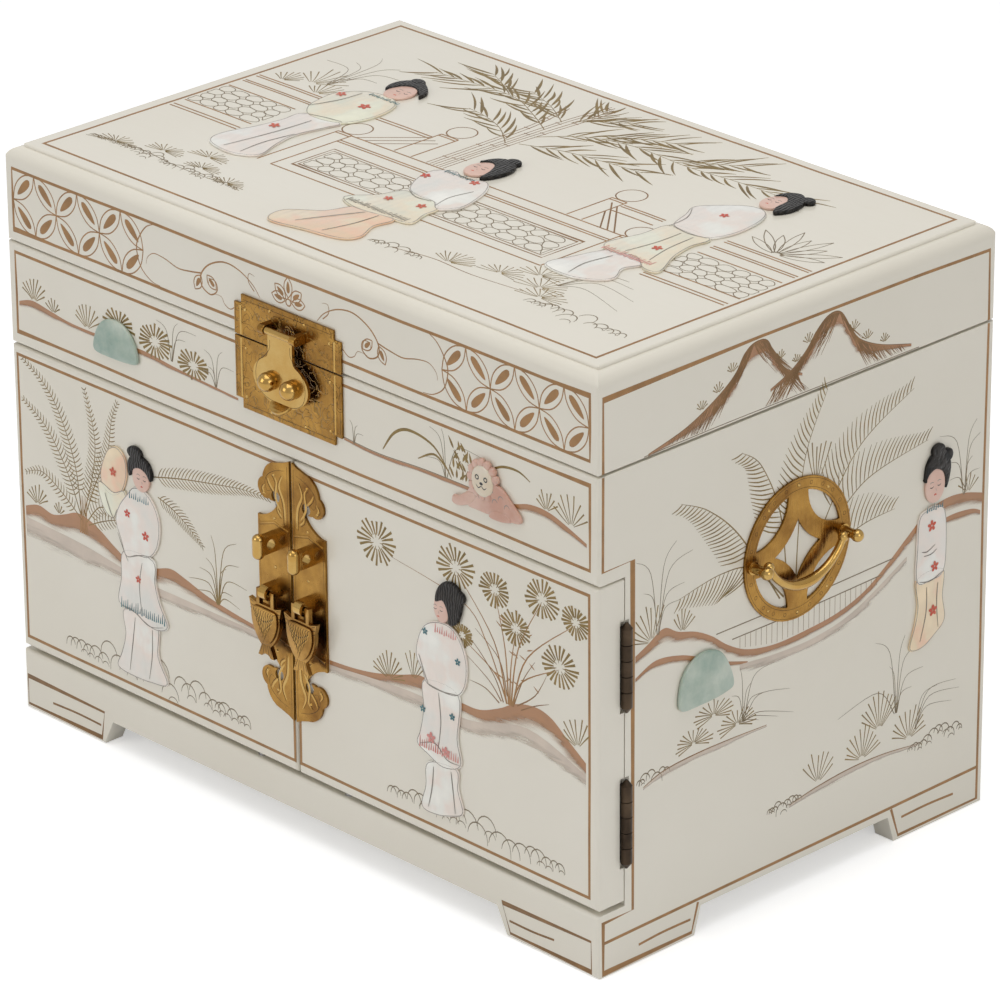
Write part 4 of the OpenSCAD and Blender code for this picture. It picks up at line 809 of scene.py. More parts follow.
def paving(b, x0, y0, x1, y1, seed):
    """Crazy paving: a close-set heap of rounded stones."""
    rng = random.Random(seed)
    size = 7.0
    rows = max(1, round((y1 - y0) / (size * 0.72)))
    dy = (y1 - y0) / rows
    for j in range(rows):
        x = x0 + (0 if j % 2 else -size * 0.35)
        while x < x1:
            w = size * rng.uniform(0.8, 1.35)
            cx, cy = x + w / 2, y0 + (j + 0.5) * dy
            ring = []
            for k in range(6):
                a = k * 60 + rng.uniform(-14, 14)
                px = cx + w * 0.52 * math.cos(math.radians(a))
                py = cy + dy * 0.56 * math.sin(math.radians(a)) * rng.uniform(0.85, 1.1)
                ring.append((min(max(px, x0), x1), min(max(py, y0), y1)))
            if ring[0][0] - ring[3][0] > size * 0.3:
                b.curve("fine_line", ring, 0.42, "even", closed=True, steps=3)
            x += w


def mountains(b):
    """Two steep peaks in slanting brush strokes, with combed trees on their flanks."""
    rng = random.Random(12)
    peaks = (
        [(-76, 193.6), (-58, 197.6), (-44, 203.6), (-34, 210), (-29, 216.6), (-24, 219.4), (-18, 218.6),
          (-14, 212), (-8, 205), (0, 201)],
        [(-16, 199.6), (-6, 203.4), (2, 209), (7, 214.6), (13, 218.8), (19, 218.4), (24, 211.6), (29, 205.4),
          (40, 200), (56, 195.6)],
    )
    for line in peaks:
        crest = smooth(line, 6)
        b.ridge(line, [1.6, 4.2] + [8.5] * (len(line) - 4) + [4.2, 1.6])
        b.stroke("stem_gold", crest, 0.8, "brush")
        for k in range(6, 3 * (len(crest) - 3)):
            (x0, y0), (x1, y1) = crest[k // 3], crest[k // 3 + 1]
            x, y = x0 + (x1 - x0) * (k % 3) / 3, y0 + (y1 - y0) * (k % 3) / 3
            drop = min(y - 194.0, rng.uniform(6.0, 15.0))
            if drop > 1.5:
                slant = drop * rng.uniform(0.45, 0.95) * (1 if k > len(crest) * 1.6 else -1)
                b.curve("stem_gold", [(x, y - 0.4), (x + slant * 0.4, y - drop * 0.5), (x + slant, y - drop)],
                        rng.uniform(0.35, 0.8), "flick", steps=3)
    for x, y, r in ((-50, 202, 4.2), (-42, 206, 4.4), (-35, 211.6, 4.2), (-11, 209.6, 3.6), (-3, 206, 3.4),
                    (3, 211.4, 4.4), (26, 209.4, 4.4), (33, 204, 4.2), (42, 200.4, 3.8)):
        fan(b, x, y, r, 20, 160, 6, 0.55, "leaf_gold")
    b.curve("fine_line", [(-78, 193.2), (-40, 193.6), (10, 193.4), (60, 193.2)], 0.35, "even")


def bamboo(b):
    """Bamboo canes with sprays of pointed leaves."""
    rng = random.Random(4)
    canes = [[(-26, -4), (-25.4, 30), (-24.6, 62), (-22, 84)], [(-22.6, -4), (-22, 34), (-20, 66), (-19, 82)],
             [(-29.5, -4), (-29.6, 26), (-30, 50), (-34, 72)]]
    for cane in canes:
        line = smooth(cane, 8)
        for off in (-0.9, 0.9):
            b.stroke("stem_gold", [(x + off, y) for x, y in line], 0.45, "even")
        for k in range(3, len(line), 4):
            x, y = line[k]
            b.stroke("stem_gold", [(x - 1.5, y - 0.3), (x + 1.5, y - 0.3)], 0.5, "even")
    branches = [
        ([(-24, 50), (-38, 58), (-56, 66), (-76, 66), (-97, 64)], 30),
        ([(-25, 60), (-40, 69), (-56, 75)], 18),
        ([(-60, 67), (-70, 73), (-80, 78)], 12),
        ([(-24, 30), (-36, 39), (-48, 44), (-60, 46)], 16),
        ([(-22, 62), (-20, 72), (-21, 80)], 12),
        ([(-21, 42), (-8, 55), (12, 61), (40, 60), (66, 62), (90, 62)], 40),
        ([(-20, 66), (-12, 73), (-4, 78)], 11),
        ([(-5, 59), (8, 68), (24, 75)], 14),
        ([(-20, 33), (-4, 39), (14, 42), (33, 44)], 18),
        ([(34, 60), (44, 68), (56, 76)], 12),
    ]
    for points, count in branches:
        line = smooth(points, 12)
        b.stroke("leaf_gold", line, 0.5, "flick")
        for k in range(count):
            f = 0.10 + 0.90 * (k + 0.5) / count
            i = min(int(f * (len(line) - 1)), len(line) - 2)
            (x, y), (qx, qy) = line[i], line[i + 1]
            heading = math.degrees(math.atan2(qy - y, qx - x))
            side = 1 if k % 2 else -1
            turn = heading + side * rng.uniform(14, 40)
            length = rng.uniform(11, 20)
            up = math.sin(math.radians(turn))
            if up > 0:
                length = min(length, (87.5 - y) / max(up, 0.05))
            b.leaf("leaf_gold", x, y, turn, length, rng.uniform(1.0, 1.55), side * rng.uniform(0.3, 1.2))


def fence(b):
    """The garden wall on the lid: posts with ball heads, double rails and paved panels."""

    def rail(x0, x1, *levels):
        for v in levels:
            b.stroke("line_gold", [(x0, v), ((x0 + x1) / 2, v + 0.15), (x1, v)], 0.85, "even")

    def post(x0, x1, y0, y1):
        for x in (x0, x1):
            b.stroke("line_gold", [(x, y0), (x, y1)], 0.8, "even")
        rail(x0, x1, y1, y1 - 1.6)
        ball = arc((x0 + x1) / 2, y1 + 6.2, 5.8, 0, 360, 24)
        b.stroke("stem_gold", ball, 0.6, "even")

    rail(-142, -105, 15, 13.4, 8, 6.6, -0.5, -22.5, -28, -30)
    paving(b, -142, -21.5, -105, -1.5, 11)
    rail(-76, -47.5, 15.5, 13.6)
    post(-77, -69.5, -45, -4.5)
    post(-47.5, -38.5, -4, 20)
    for a, c in (((-67, -4.5), (-47.5, 15)), ((-62.5, -4.5), (-44, 13.6)), ((-58, -4.5), (-41, 12))):
        b.stroke("stem_gold", [a, c], 0.6, "even")
    rail(-69.5, 71, -4.8, -10.6, -12.2, -45)
    for w, g in ((0.7, 0.0), (0.55, 1.6)):
        box_line(b, -64 + g, -39.5 + g, 66 - g, -18.5 - g, w, "stem_gold")
    paving(b, -61, -37, 63, -21, 23)
    post(42.5, 50, -4, 19)
    post(71, 78, -45, -4.5)
    for a, c in (((50, 14), (67, -4.5)), ((46, 15.4), (63.5, -4.5)), ((50, 8), (60, -4.5))):
        b.stroke("stem_gold", [a, c], 0.7, "even")
    rail(51, 72, 16.6, 15, 10)
    rail(101, 142, 18, 16.4, 11, 9.4, 3, -18, -24, -26)
    paving(b, 100, -17.5, 142, 1.5, 31)


class BOX_OT_painting(Operator):
    """Paint the borders, plants and hills on the front, the sides and the top"""

    bl_idname = "jewel_box.painting"
    bl_label = "Painted work"

    def execute(self, context):
        self.lid_front()
        self.fascia()
        self.doors()
        self.base()
        for side, name in ((1, "right"), (-1, "left")):
            self.side(side, name)
        self.top()
        return {"FINISHED"}

    def lid_front(self):
        b = Brush("lid_front", "lid", front_face())
        box_line(b, -151, 197.2, 151, 221.3)
        coin_band(b, -150.6, 209.3, 3, 12.1)
        coin_band(b, 78.6, 209.3, 3, 12.0)
        for s in (-1, 1):
            vine(b, s)
        flower_head(b, 0, 211.5, 9.6)
        b.finish()

    def fascia(self):
        b = Brush("fascia", "case", front_face())
        box_line(b, -151, 156.4, 151, 188.2, seed=2)
        b.ridge([(-149.6, 169), (-142, 171.2), (-132, 170), (-120, 168.6), (-104, 168.6), (-80, 169.6),
                 (-60, 168), (-28, 166.4)], [3, 4.5, 4, 2.4, 2.2, 3.6, 2.4, 1.5])
        b.ridge([(28, 168.2), (46, 167.4), (70, 168.6), (96, 169), (112, 169.4), (122, 172), (133, 171.6),
                 (149.5, 166)], [1.5, 2, 2.2, 2.6, 3, 4.6, 4.6, 2.5])
        b.curve("fine_line", [(28, 168.4), (46, 167.6), (70, 168.8), (96, 169)], 0.35, "even")
        for x, y, r, n in ((-141, 171, 10.5, 9), (-130, 169.6, 6.5, 6), (-111, 168.8, 10.5, 9),
                           (130, 172, 8, 7), (142, 169.6, 12.5, 8)):
            fan(b, x, y, r, 25, 155, n, 0.7)
        palm_head(b, -93, 175.5, 9, 0.75, 20)
        palm_head(b, -73, 175, 9.5, 0.75, 22)
        palm_head(b, -52, 171.8, 9, 0.66, 20)
        reeds(b, -64, 170, [(-72, 184), (-60, 186), (-56, 180), (-50, 184), (-70, 178)])
        reeds(b, -40, 167, [(-46, 180), (-36, 182), (-30, 176), (-44, 174), (-50, 171)])
        reeds(b, 33, 167, [(31, 176), (35, 175), (38, 172)])
        reeds(b, 80, 169, [(70, 174), (98, 182), (72, 186), (78, 187)])
        b.curve("leaf_gold", [(48, 170), (54, 178), (62, 181.3), (74, 179), (82, 171)], 1.3, "brush")
        b.curve("leaf_gold", [(66, 172), (74, 176), (80, 173), (83, 169.5)], 1.0, "brush")
        b.curve("leaf_gold", [(101, 178), (108, 181.8), (116, 182.6), (122, 180.4)], 1.1, "brush")
        rng = random.Random(6)
        for k in range(26):
            x, y = 84 + k % 7 * 1.5, 170.5 + k // 7 * 3.6
            b.leaf("leaf_gold", x, y, rng.uniform(40, 140), rng.uniform(3, 5), 1.2)
        b.finish()

    def doors(self):
        b = Brush("left_door", "left_door", front_face())
        box_line(b, -152, 30.8, -1.6, 147, seed=3)
        b.ridge([(-150.6, 85.5), (-143, 88), (-135, 86.8), (-128, 89), (-120, 92), (-110, 90), (-100, 85),
                 (-92, 81.5), (-84, 80.6)], [8, 9, 9, 11, 13, 11, 8, 5, 4])
        b.ridge([(-84, 81.4), (-76, 83.6), (-68, 86), (-60, 84.6), (-48, 81.6), (-34, 79.6), (-18, 78)],
                [4, 8, 9, 8, 6, 4, 3])
        b.ridge([(-150.6, 81), (-120, 80), (-100, 78), (-84, 76), (-60, 76), (-18, 76)],
                [10, 12, 8, 7, 6, 4], "shade_wash")
        stems = [
            [(-118, 92), (-121, 112), (-129, 130), (-138, 140), (-149, 146)],
            [(-118.5, 92), (-126, 108), (-137, 122), (-150.5, 130)],
            [(-117, 92), (-111, 110), (-109, 126), (-114, 144)],
            [(-116, 92), (-110, 106), (-102, 122), (-99, 136), (-95, 145)],
            [(-118, 90), (-128, 97), (-140, 102.6), (-150, 99.6)],
            [(-115, 90), (-108, 98), (-100, 100), (-93, 106)],
            [(-114, 89), (-106, 93), (-98, 96), (-90, 97)],
        ]
        for i, stem in enumerate(stems):
            frond(b, stem, 5.2 if i < 4 else 4.2, 1.75, 0.48)
        for k in range(5):
            blade = [(-119 + k, 84.5), (-118.5 + k * 0.8, 92), (-118 + k * 0.9, 100)]
            b.curve("line_gold", blade, 0.9, "flick")
        frond(b, [(-76, 120.5), (-60, 124.6), (-40, 128.6), (-26, 131), (-13, 131.6)], 7.4, 1.9, 0.45,
              sweep=46, start=0.04)
        frond(b, [(-74, 113), (-66, 110.6), (-58, 106.6), (-50, 101)], 6.0, 1.6, 0.42, sweep=46, start=0.04)
        reeds(b, -42, 80, [(-45, 107), (-31, 108), (-30, 99), (-26, 91), (-58, 86), (-52, 92), (-48, 97),
                           (-37, 96), (-34, 86), (-30, 82), (-55, 82)], 0.6, "leaf_gold")
        fan(b, -143.5, 88, 8.5, 20, 160, 8)
        fan(b, -131, 88, 5, 30, 150, 5)
        curls(b, -127, -28, 36, 4.6, 5)
        b.finish()
        b = Brush("right_door", "right_door", front_face())
        box_line(b, 1.6, 30.8, 150.6, 147, seed=4)
        b.ridge([(18, 78), (30, 79), (42, 81), (54, 84.4), (66, 88), (76, 86)], [3, 4, 5, 7, 9, 8])
        b.ridge([(74, 85), (86, 84.6), (96, 85), (106, 89), (114, 93.4), (124, 95.6), (132, 94),
                 (140, 88.6), (149, 82.6)], [5, 6, 7, 9, 11, 12, 11, 9, 7])
        b.ridge([(18, 76), (60, 80), (90, 79), (120, 86), (149, 78)], [4, 7, 7, 9, 6],
                "shade_wash")
        heads = [(44, 133, 10), (84.5, 136, 9.6), (104, 134, 7.8), (127.5, 138, 8.6), (144, 134.6, 7),
                 (114.5, 122.6, 7.6), (136, 115, 9.4), (87.5, 111, 5.4)]
        for x, y, r in heads:
            palm_head(b, x, y, r)
        root = (111, 92)
        for x, y, r in heads[1:]:
            b.curve("line_gold", [(root[0] + (x - root[0]) * 0.05, root[1]),
                                  (root[0] + (x - root[0]) * 0.28, root[1] + (y - root[1]) * 0.5),
                                  (x, y - 1)], 0.95, "flick")
        b.curve("line_gold", [(109, 94), (100, 112), (88, 124), (52, 129.6)], 0.75, "flick")
        for p in ([(108, 92), (104, 100), (96, 108), (90, 112)], [(107, 92), (101, 98), (90, 104)],
                  [(106, 91), (99, 94.5), (91, 95)], [(113, 92), (118, 104), (124, 113)],
                  [(115, 93), (124, 100), (130, 110)], [(117, 92), (124, 96), (131, 99)],
                  [(110, 95), (106, 108), (94, 116)]):
            b.curve("stem_gold", p, 0.7, "flick")
        rng = random.Random(8)
        for k in range(16):
            x, y = rng.uniform(104, 126), rng.uniform(100, 124)
            b.leaf("line_gold", x, y, rng.choice((20, 160, 35, 145)), 3.2, 0.6)
        fan(b, 49.5, 81, 11.5, 10, 170, 12)
        fan(b, 62, 85, 11, 40, 120, 6, 0.6)
        fan(b, 145, 87, 12, 40, 170, 8)
        curls(b, 50, 138, 36, 4.8, 9)
        b.finish()

    def base(self):
        b = Brush("base_front", "case", front_face())
        frames = [[(-153.4, 13.6), (-108.8, 13.2), (-110.6, 2.2), (-153.4, 2.0)],
                  [(106.6, 12.8), (151.4, 13.8), (151.6, 2.0), (110.8, 2.0)]]
        for corners in frames:
            b.stroke("stem_gold", corners, 1.1, "even", closed=True)
        b.curve("stem_gold", [(-139, 6.8), (-125, 7.4), (-111, 7.2)], 1.0, "even")
        b.curve("stem_gold", [(110.4, 6.8), (122, 6.8), (133, 7.6)], 1.0, "even")
        b.finish()

    def side(self, side, name):
        b = Brush(f"side_{name}", "case", side_face(side))
        w = settings().box_paint.border_width
        b.stroke("line_gold", [(-97.6, 191.6), (-97.8, 156.2), (-83.4, 156.4), (-83.0, 21.6), (-97.6, 21.4),
                               (-97.6, 1.6), (-53.4, 1.6), (-50.2, 12.6)], w, "even")
        b.stroke("line_gold", [(-97.6, 13.4), (-40, 13.8), (40, 14.2), (97, 14.6)], w, "even")
        b.stroke("line_gold", [(97, 191.6), (96.4, 120), (97, 60), (97, 1.6), (54.4, 1.6), (50.4, 13.6)],
                 w, "even")
        b.curve("line_gold", [(-80, 6.6), (-68, 7.2), (-54, 7)], 1.1, "even")
        b.curve("line_gold", [(56, 8.4), (70, 8.6), (84, 8)], 1.1, "even")
        hill = [(-82, 119.4), (-76, 122), (-68, 125.6), (-61, 122), (-52, 119), (-44, 114.6), (-36, 108.6),
                (-26, 103.6), (-12, 101), (4, 101.2), (20, 102.6), (34, 106.6), (46, 113.6), (56, 120.6),
                (66, 127), (76, 129.4), (86, 128.6), (96, 125.6)]
        b.ridge(hill, [5, 6, 7, 6, 5.5, 5, 5, 4.6, 4, 4, 4, 4, 4.6, 5.6, 6.6, 7, 7, 6])
        lower = [(-82, 111), (-72, 114.6), (-60, 112.6), (-50, 108.6), (-38, 103), (-26, 99)]
        b.ridge(lower, [2, 4, 4, 4, 3, 2])
        b.ridge([(70, 121), (80, 122), (90, 121), (95, 119)], [2, 4, 4, 3])
        b.ridge([(-30, 99), (-10, 97), (10, 97), (30, 101), (56, 113)], [4, 5, 5, 5, 4], "shade_wash")
        for y0, x0, x1 in ((110, -34, 43), (114.6, -42, 49)):
            b.curve("fine_line", [(x0, y0), ((x0 + x1) / 2, y0 - 0.4), (x1, y0)], 0.5, "even")
        for k in range(27):
            x = -30 + k * 2.7
            low = 101.5 + max(0, (abs(x - 2) - 14)) * 0.22
            b.stroke("stem_gold", [(x, 109.6), (x, low)], 0.62, "brush")
        combs = [([(-10, 118), (-30, 148), (-46, 163), (-60, 170)], -1),
                 ([(-6, 118), (-10, 150), (-20, 172), (-30, 180)], -1),
                 ([(-2, 118), (-1, 140), (2, 168), (13, 191)], 1),
                 ([(2, 118), (12, 140), (30, 164), (58, 178)], 1),
                 ([(4, 118), (16, 136), (34, 150), (66, 155.6)], 1),
                 ([(-8, 118), (-24, 134), (-40, 137), (-61, 134)], -1),
                 ([(6, 118), (18, 128), (32, 133), (49, 134)], 1)]
        for points, s in combs:
            frond(b, points, 17.0, 2.2, 0.62, (-s,) if s < 0 else (s,), 62, "leaf_gold", 0.36)
        fan(b, 8, 155, 18, 60, 110, 6, 0.7, "leaf_gold")
        reeds(b, -71, 124, [(-82, 155), (-62, 157), (-54, 151), (-78, 142), (-58, 140), (-60, 134)], 0.42,
              "fine_line")
        fan(b, -74, 122, 15, 60, 170, 9, 0.62)
        fan(b, -59, 121, 9.5, 25, 130, 7, 0.62)
        reeds(b, 86, 128, [(72, 155), (92, 156), (94, 150), (76, 143), (90, 142), (78, 136), (94, 136)], 0.42)
        fan(b, 88, 128, 9, 30, 150, 6, 0.6)
        mounds = [[(-78, 67.6), (-68, 70.6), (-52, 71.6), (-34, 71.4), (-16, 70.6)],
                  [(-4, 34.4), (10, 36.6), (28, 38), (46, 37.6), (64, 35.4)]]
        for line in mounds:
            b.ridge(line, [1.5, 3.2, 3.2, 2.5, 1], "shade_wash")
            b.curve("stem_gold", line, 0.6, "brush")
        curls(b, -80, -66, 69.6, 2.6, 3)
        for x, y, r in ((-53, 76, 9.5), (-31, 76, 10), (-43, 83.6, 10)):
            fan(b, x, y, r, -35, 215, 15, 0.6, "leaf_gold", 0.1, 0.62)
        reeds(b, -28, 76, [(-30, 98), (-12, 94), (-17, 84), (-4, 81), (-2, 71), (-24, 90), (-34, 88),
                           (-10, 72), (-20, 74)], 0.42)
        fan(b, 11, 38, 13, 25, 140, 8, 0.62)
        fan(b, 34, 39.4, 13.5, 12, 168, 12, 0.62)
        fan(b, 43, 48, 16, 35, 150, 11, 0.62)
        fan(b, 59, 39, 13, 10, 165, 11, 0.62)
        reeds(b, 52, 52, [(21, 60), (40, 84), (62, 76), (66, 66), (60, 60), (48, 72), (56, 82)], 0.42)
        reeds(b, 62, 42, [(84, 55), (82, 47), (74, 56), (86, 51)], 0.42)
        curls(b, -14, 2, 35, 2.4, 7)
        curls(b, 60, 88, 34, 2.8, 8)
        b.finish()
        b = Brush(f"lid_side_{name}", "lid", side_face(side))
        b.stroke("line_gold", [(-97.6, 192.8), (-97.6, 220), (-20, 221), (60, 220.6), (96.6, 219.8),
                               (97, 192.8)], w, "even")
        mountains(b)
        b.finish()

    def top(self):
        b = Brush("top", "lid", top_face)
        box_line(b, -144, -90, 144, 90, 1.35, "line_gold", 5)
        fence(b)
        bamboo(b)
        for x, y, r in ((-132, 17, 10), (-121, 22, 17), (-112, 16, 12)):
            fan(b, x, y, r, 30, 160, 9, 0.6)
        reeds(b, -116, 26, [(-136, 44), (-122, 60), (-108, 56), (-100, 48), (-126, 50), (-104, 40)], 0.4)
        for k in range(9):
            a = 22 + k * 17
            petal(b, polar(122, 20, 2, a), polar(122, 20, 24 if k % 2 else 19, a), 1.7, 0.42, False,
                  "fine_line")
        for x, y, r in ((-127, -70, 10), (-107, -64, 10), (-90, -57, 10), (-84, -66, 9), (-66, -70, 9)):
            fan(b, x, y, r, -20, 200, 14, 0.5, "leaf_gold", 0.1, 0.6)
        b.curve("fine_line", [(-140, -73), (-118, -68.6), (-90, -71), (-62, -70.6)], 0.5, "brush")
        curls(b, -138, -60, -71.6, 2.6, 12)
        for x, y, r in ((46, -66, 14), (66, -60, 10), (78, -52, 11), (86, -60, 12), (92, -66, 11)):
            fan(b, x, y, r, 20 if r > 13 else -20, 160 if r > 13 else 200, 13, 0.5, "leaf_gold", 0.1, 0.75)
        b.curve("stem_gold", [(22, -70), (40, -67), (60, -68), (84, -66)], 0.5, "brush")
        reeds(b, 88, -54, [(110, -38), (118, -46), (104, -34), (120, -56), (98, -40)], 0.4)
        curls(b, 12, 36, -71, 3, 14)
        curls(b, 92, 138, -71, 3.4, 15)
        b.finish()


# ---- shell and stone relief --------------------------------------------------------------


def new_piece(name, mesh):
    piece = bpy.data.objects.new(name, mesh)
    bpy.context.collection.objects.link(piece)
    return piece


def coat(piece, finish):
    """That finish alone on the whole piece."""
    piece.data.materials.clear()
    piece.data.materials.append(made_of(finish))


def clean_up(merge=0.0):
    """Merge the active piece's doubled points, if asked, and turn its faces outwards."""
    bpy.ops.object.mode_set(mode="EDIT")
    bpy.ops.mesh.select_all(action="SELECT")
    if merge:
        bpy.ops.mesh.remove_doubles(threshold=merge)
    bpy.ops.mesh.normals_make_consistent(inside=False)
    bpy.ops.object.mode_set(mode="OBJECT")


def select_only(*objects):
    bpy.ops.object.select_all(action="DESELECT")
    for o in objects:
        o.select_set(True)
    bpy.context.view_layer.objects.active = objects[0]


def relief(name, outline, finish, body, place, thick, round_edge=0.32, steps=6):
    """A flat piece cut to an outline, with a rounded upper edge, laid on a face."""
    points = smooth(outline, steps, True)
    bpy.ops.object.select_all(action="DESELECT")
    bpy.ops.curve.primitive_bezier_circle_add(radius=1.0, location=(0, 0, 0))
    piece = bpy.context.object
    shape = piece.data
    shape.splines.clear()
    spline = shape.splines.new("POLY")
    spline.points.add(len(points) - 1)
    for point, (x, y) in zip(spline.points, points):
        point.co = (x, y, 0, 1)
    spline.use_cyclic_u = True
    shape.dimensions = "2D"
    shape.fill_mode = "BOTH"
    shape.extrude = max(0.01, thick / 2 - round_edge)
    shape.bevel_depth = round_edge
    shape.bevel_resolution = 2
    shape.offset = -round_edge
    bpy.ops.object.convert(target="MESH")
    piece = bpy.context.object
    mesh = piece.data
    for v in mesh.vertices:
        v.co = place(v.co.x, v.co.y, v.co.z + thick / 2)
    clean_up(0.000005)
    bpy.ops.object.shade_smooth_by_angle(angle=math.radians(50))
    coat(piece, finish)
    piece.name = mesh.name = name
    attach(piece, body)
    return piece


def oval(cx, cy, rx, ry, n=16, tilt=0.0):
    t = math.radians(tilt)
    out = []
    for k in range(n):
        x, y = rx * math.cos(2 * math.pi * k / n), ry * math.sin(2 * math.pi * k / n)
        out.append((cx + x * math.cos(t) - y * math.sin(t), cy + x * math.sin(t) + y * math.cos(t)))
    return out


def inset(line, gap):
    """The line drawn in towards its own middle by the gap."""
    cx = sum(p[0] for p in line) / len(line)
    cy = sum(p[1] for p in line) / len(line)
    out = []
    for x, y in line:
        r = max(gap * 2, math.dist((x, y), (cx, cy)))
        out.append((cx + (x - cx) * (1 - gap / r), cy + (y - cy) * (1 - gap / r)))
    return out


def join(name, pieces):
    select_only(*pieces)
    bpy.ops.object.join()
    piece = bpy.context.object
    piece.name = piece.data.name = name
    return piece


def calm_face(b, x, y, size, turn):
    """Two lowered eyes, brows and a small mouth, the same on every figure."""
    s = size / 6.0
    for k in (-1, 1):
        ex = x + turn * s + k * 2.0 * s
        b.curve("black_ink", [(ex - 1.0 * s, y + 0.4 * s), (ex, y), (ex + 1.0 * s, y + 0.4 * s)], 0.42 * s,
                "brush", steps=3)
        b.curve("grey_ink", [(ex - 1.1 * s, y + 1.9 * s), (ex, y + 2.3 * s), (ex + 1.1 * s, y + 1.9 * s)],
                0.35 * s, "brush", steps=3)
    b.curve("red_ink", [(x + turn * s - 0.7 * s, y - 3.3 * s), (x + turn * s, y - 3.0 * s),
                        (x + turn * s + 0.7 * s, y - 3.3 * s)], 0.75 * s, "brush", steps=3)
    b.curve("grey_ink", [(x + turn * s + 0.2 * s, y - 0.6 * s), (x + turn * s + 0.5 * s, y - 1.7 * s)],
            0.28 * s, "brush", steps=3)


def blossom(b, x, y, r, paint="red_ink"):
    for a in (20, 92, 164, 236, 308):
        px, py = polar(x, y, r * 0.5, a)
        b.wash(paint, oval(px, py, r * 0.40, r * 0.26, 8, a))


def hem(b, x0, x1, y, paint, rise):
    """A band of short strokes along the lower edge of a sleeve or skirt."""
    rng = random.Random(1)
    x = x0
    while x < x1:
        b.stroke(paint, [(x, y + rng.uniform(0, 0.6)), (x + 0.3, y + rise * rng.uniform(0.6, 1.1))], 0.7,
                 "flick")
        x += 1.15


def folds(b, lines):
    for line in lines:
        b.curve("grey_ink", line, 0.42, "brush")


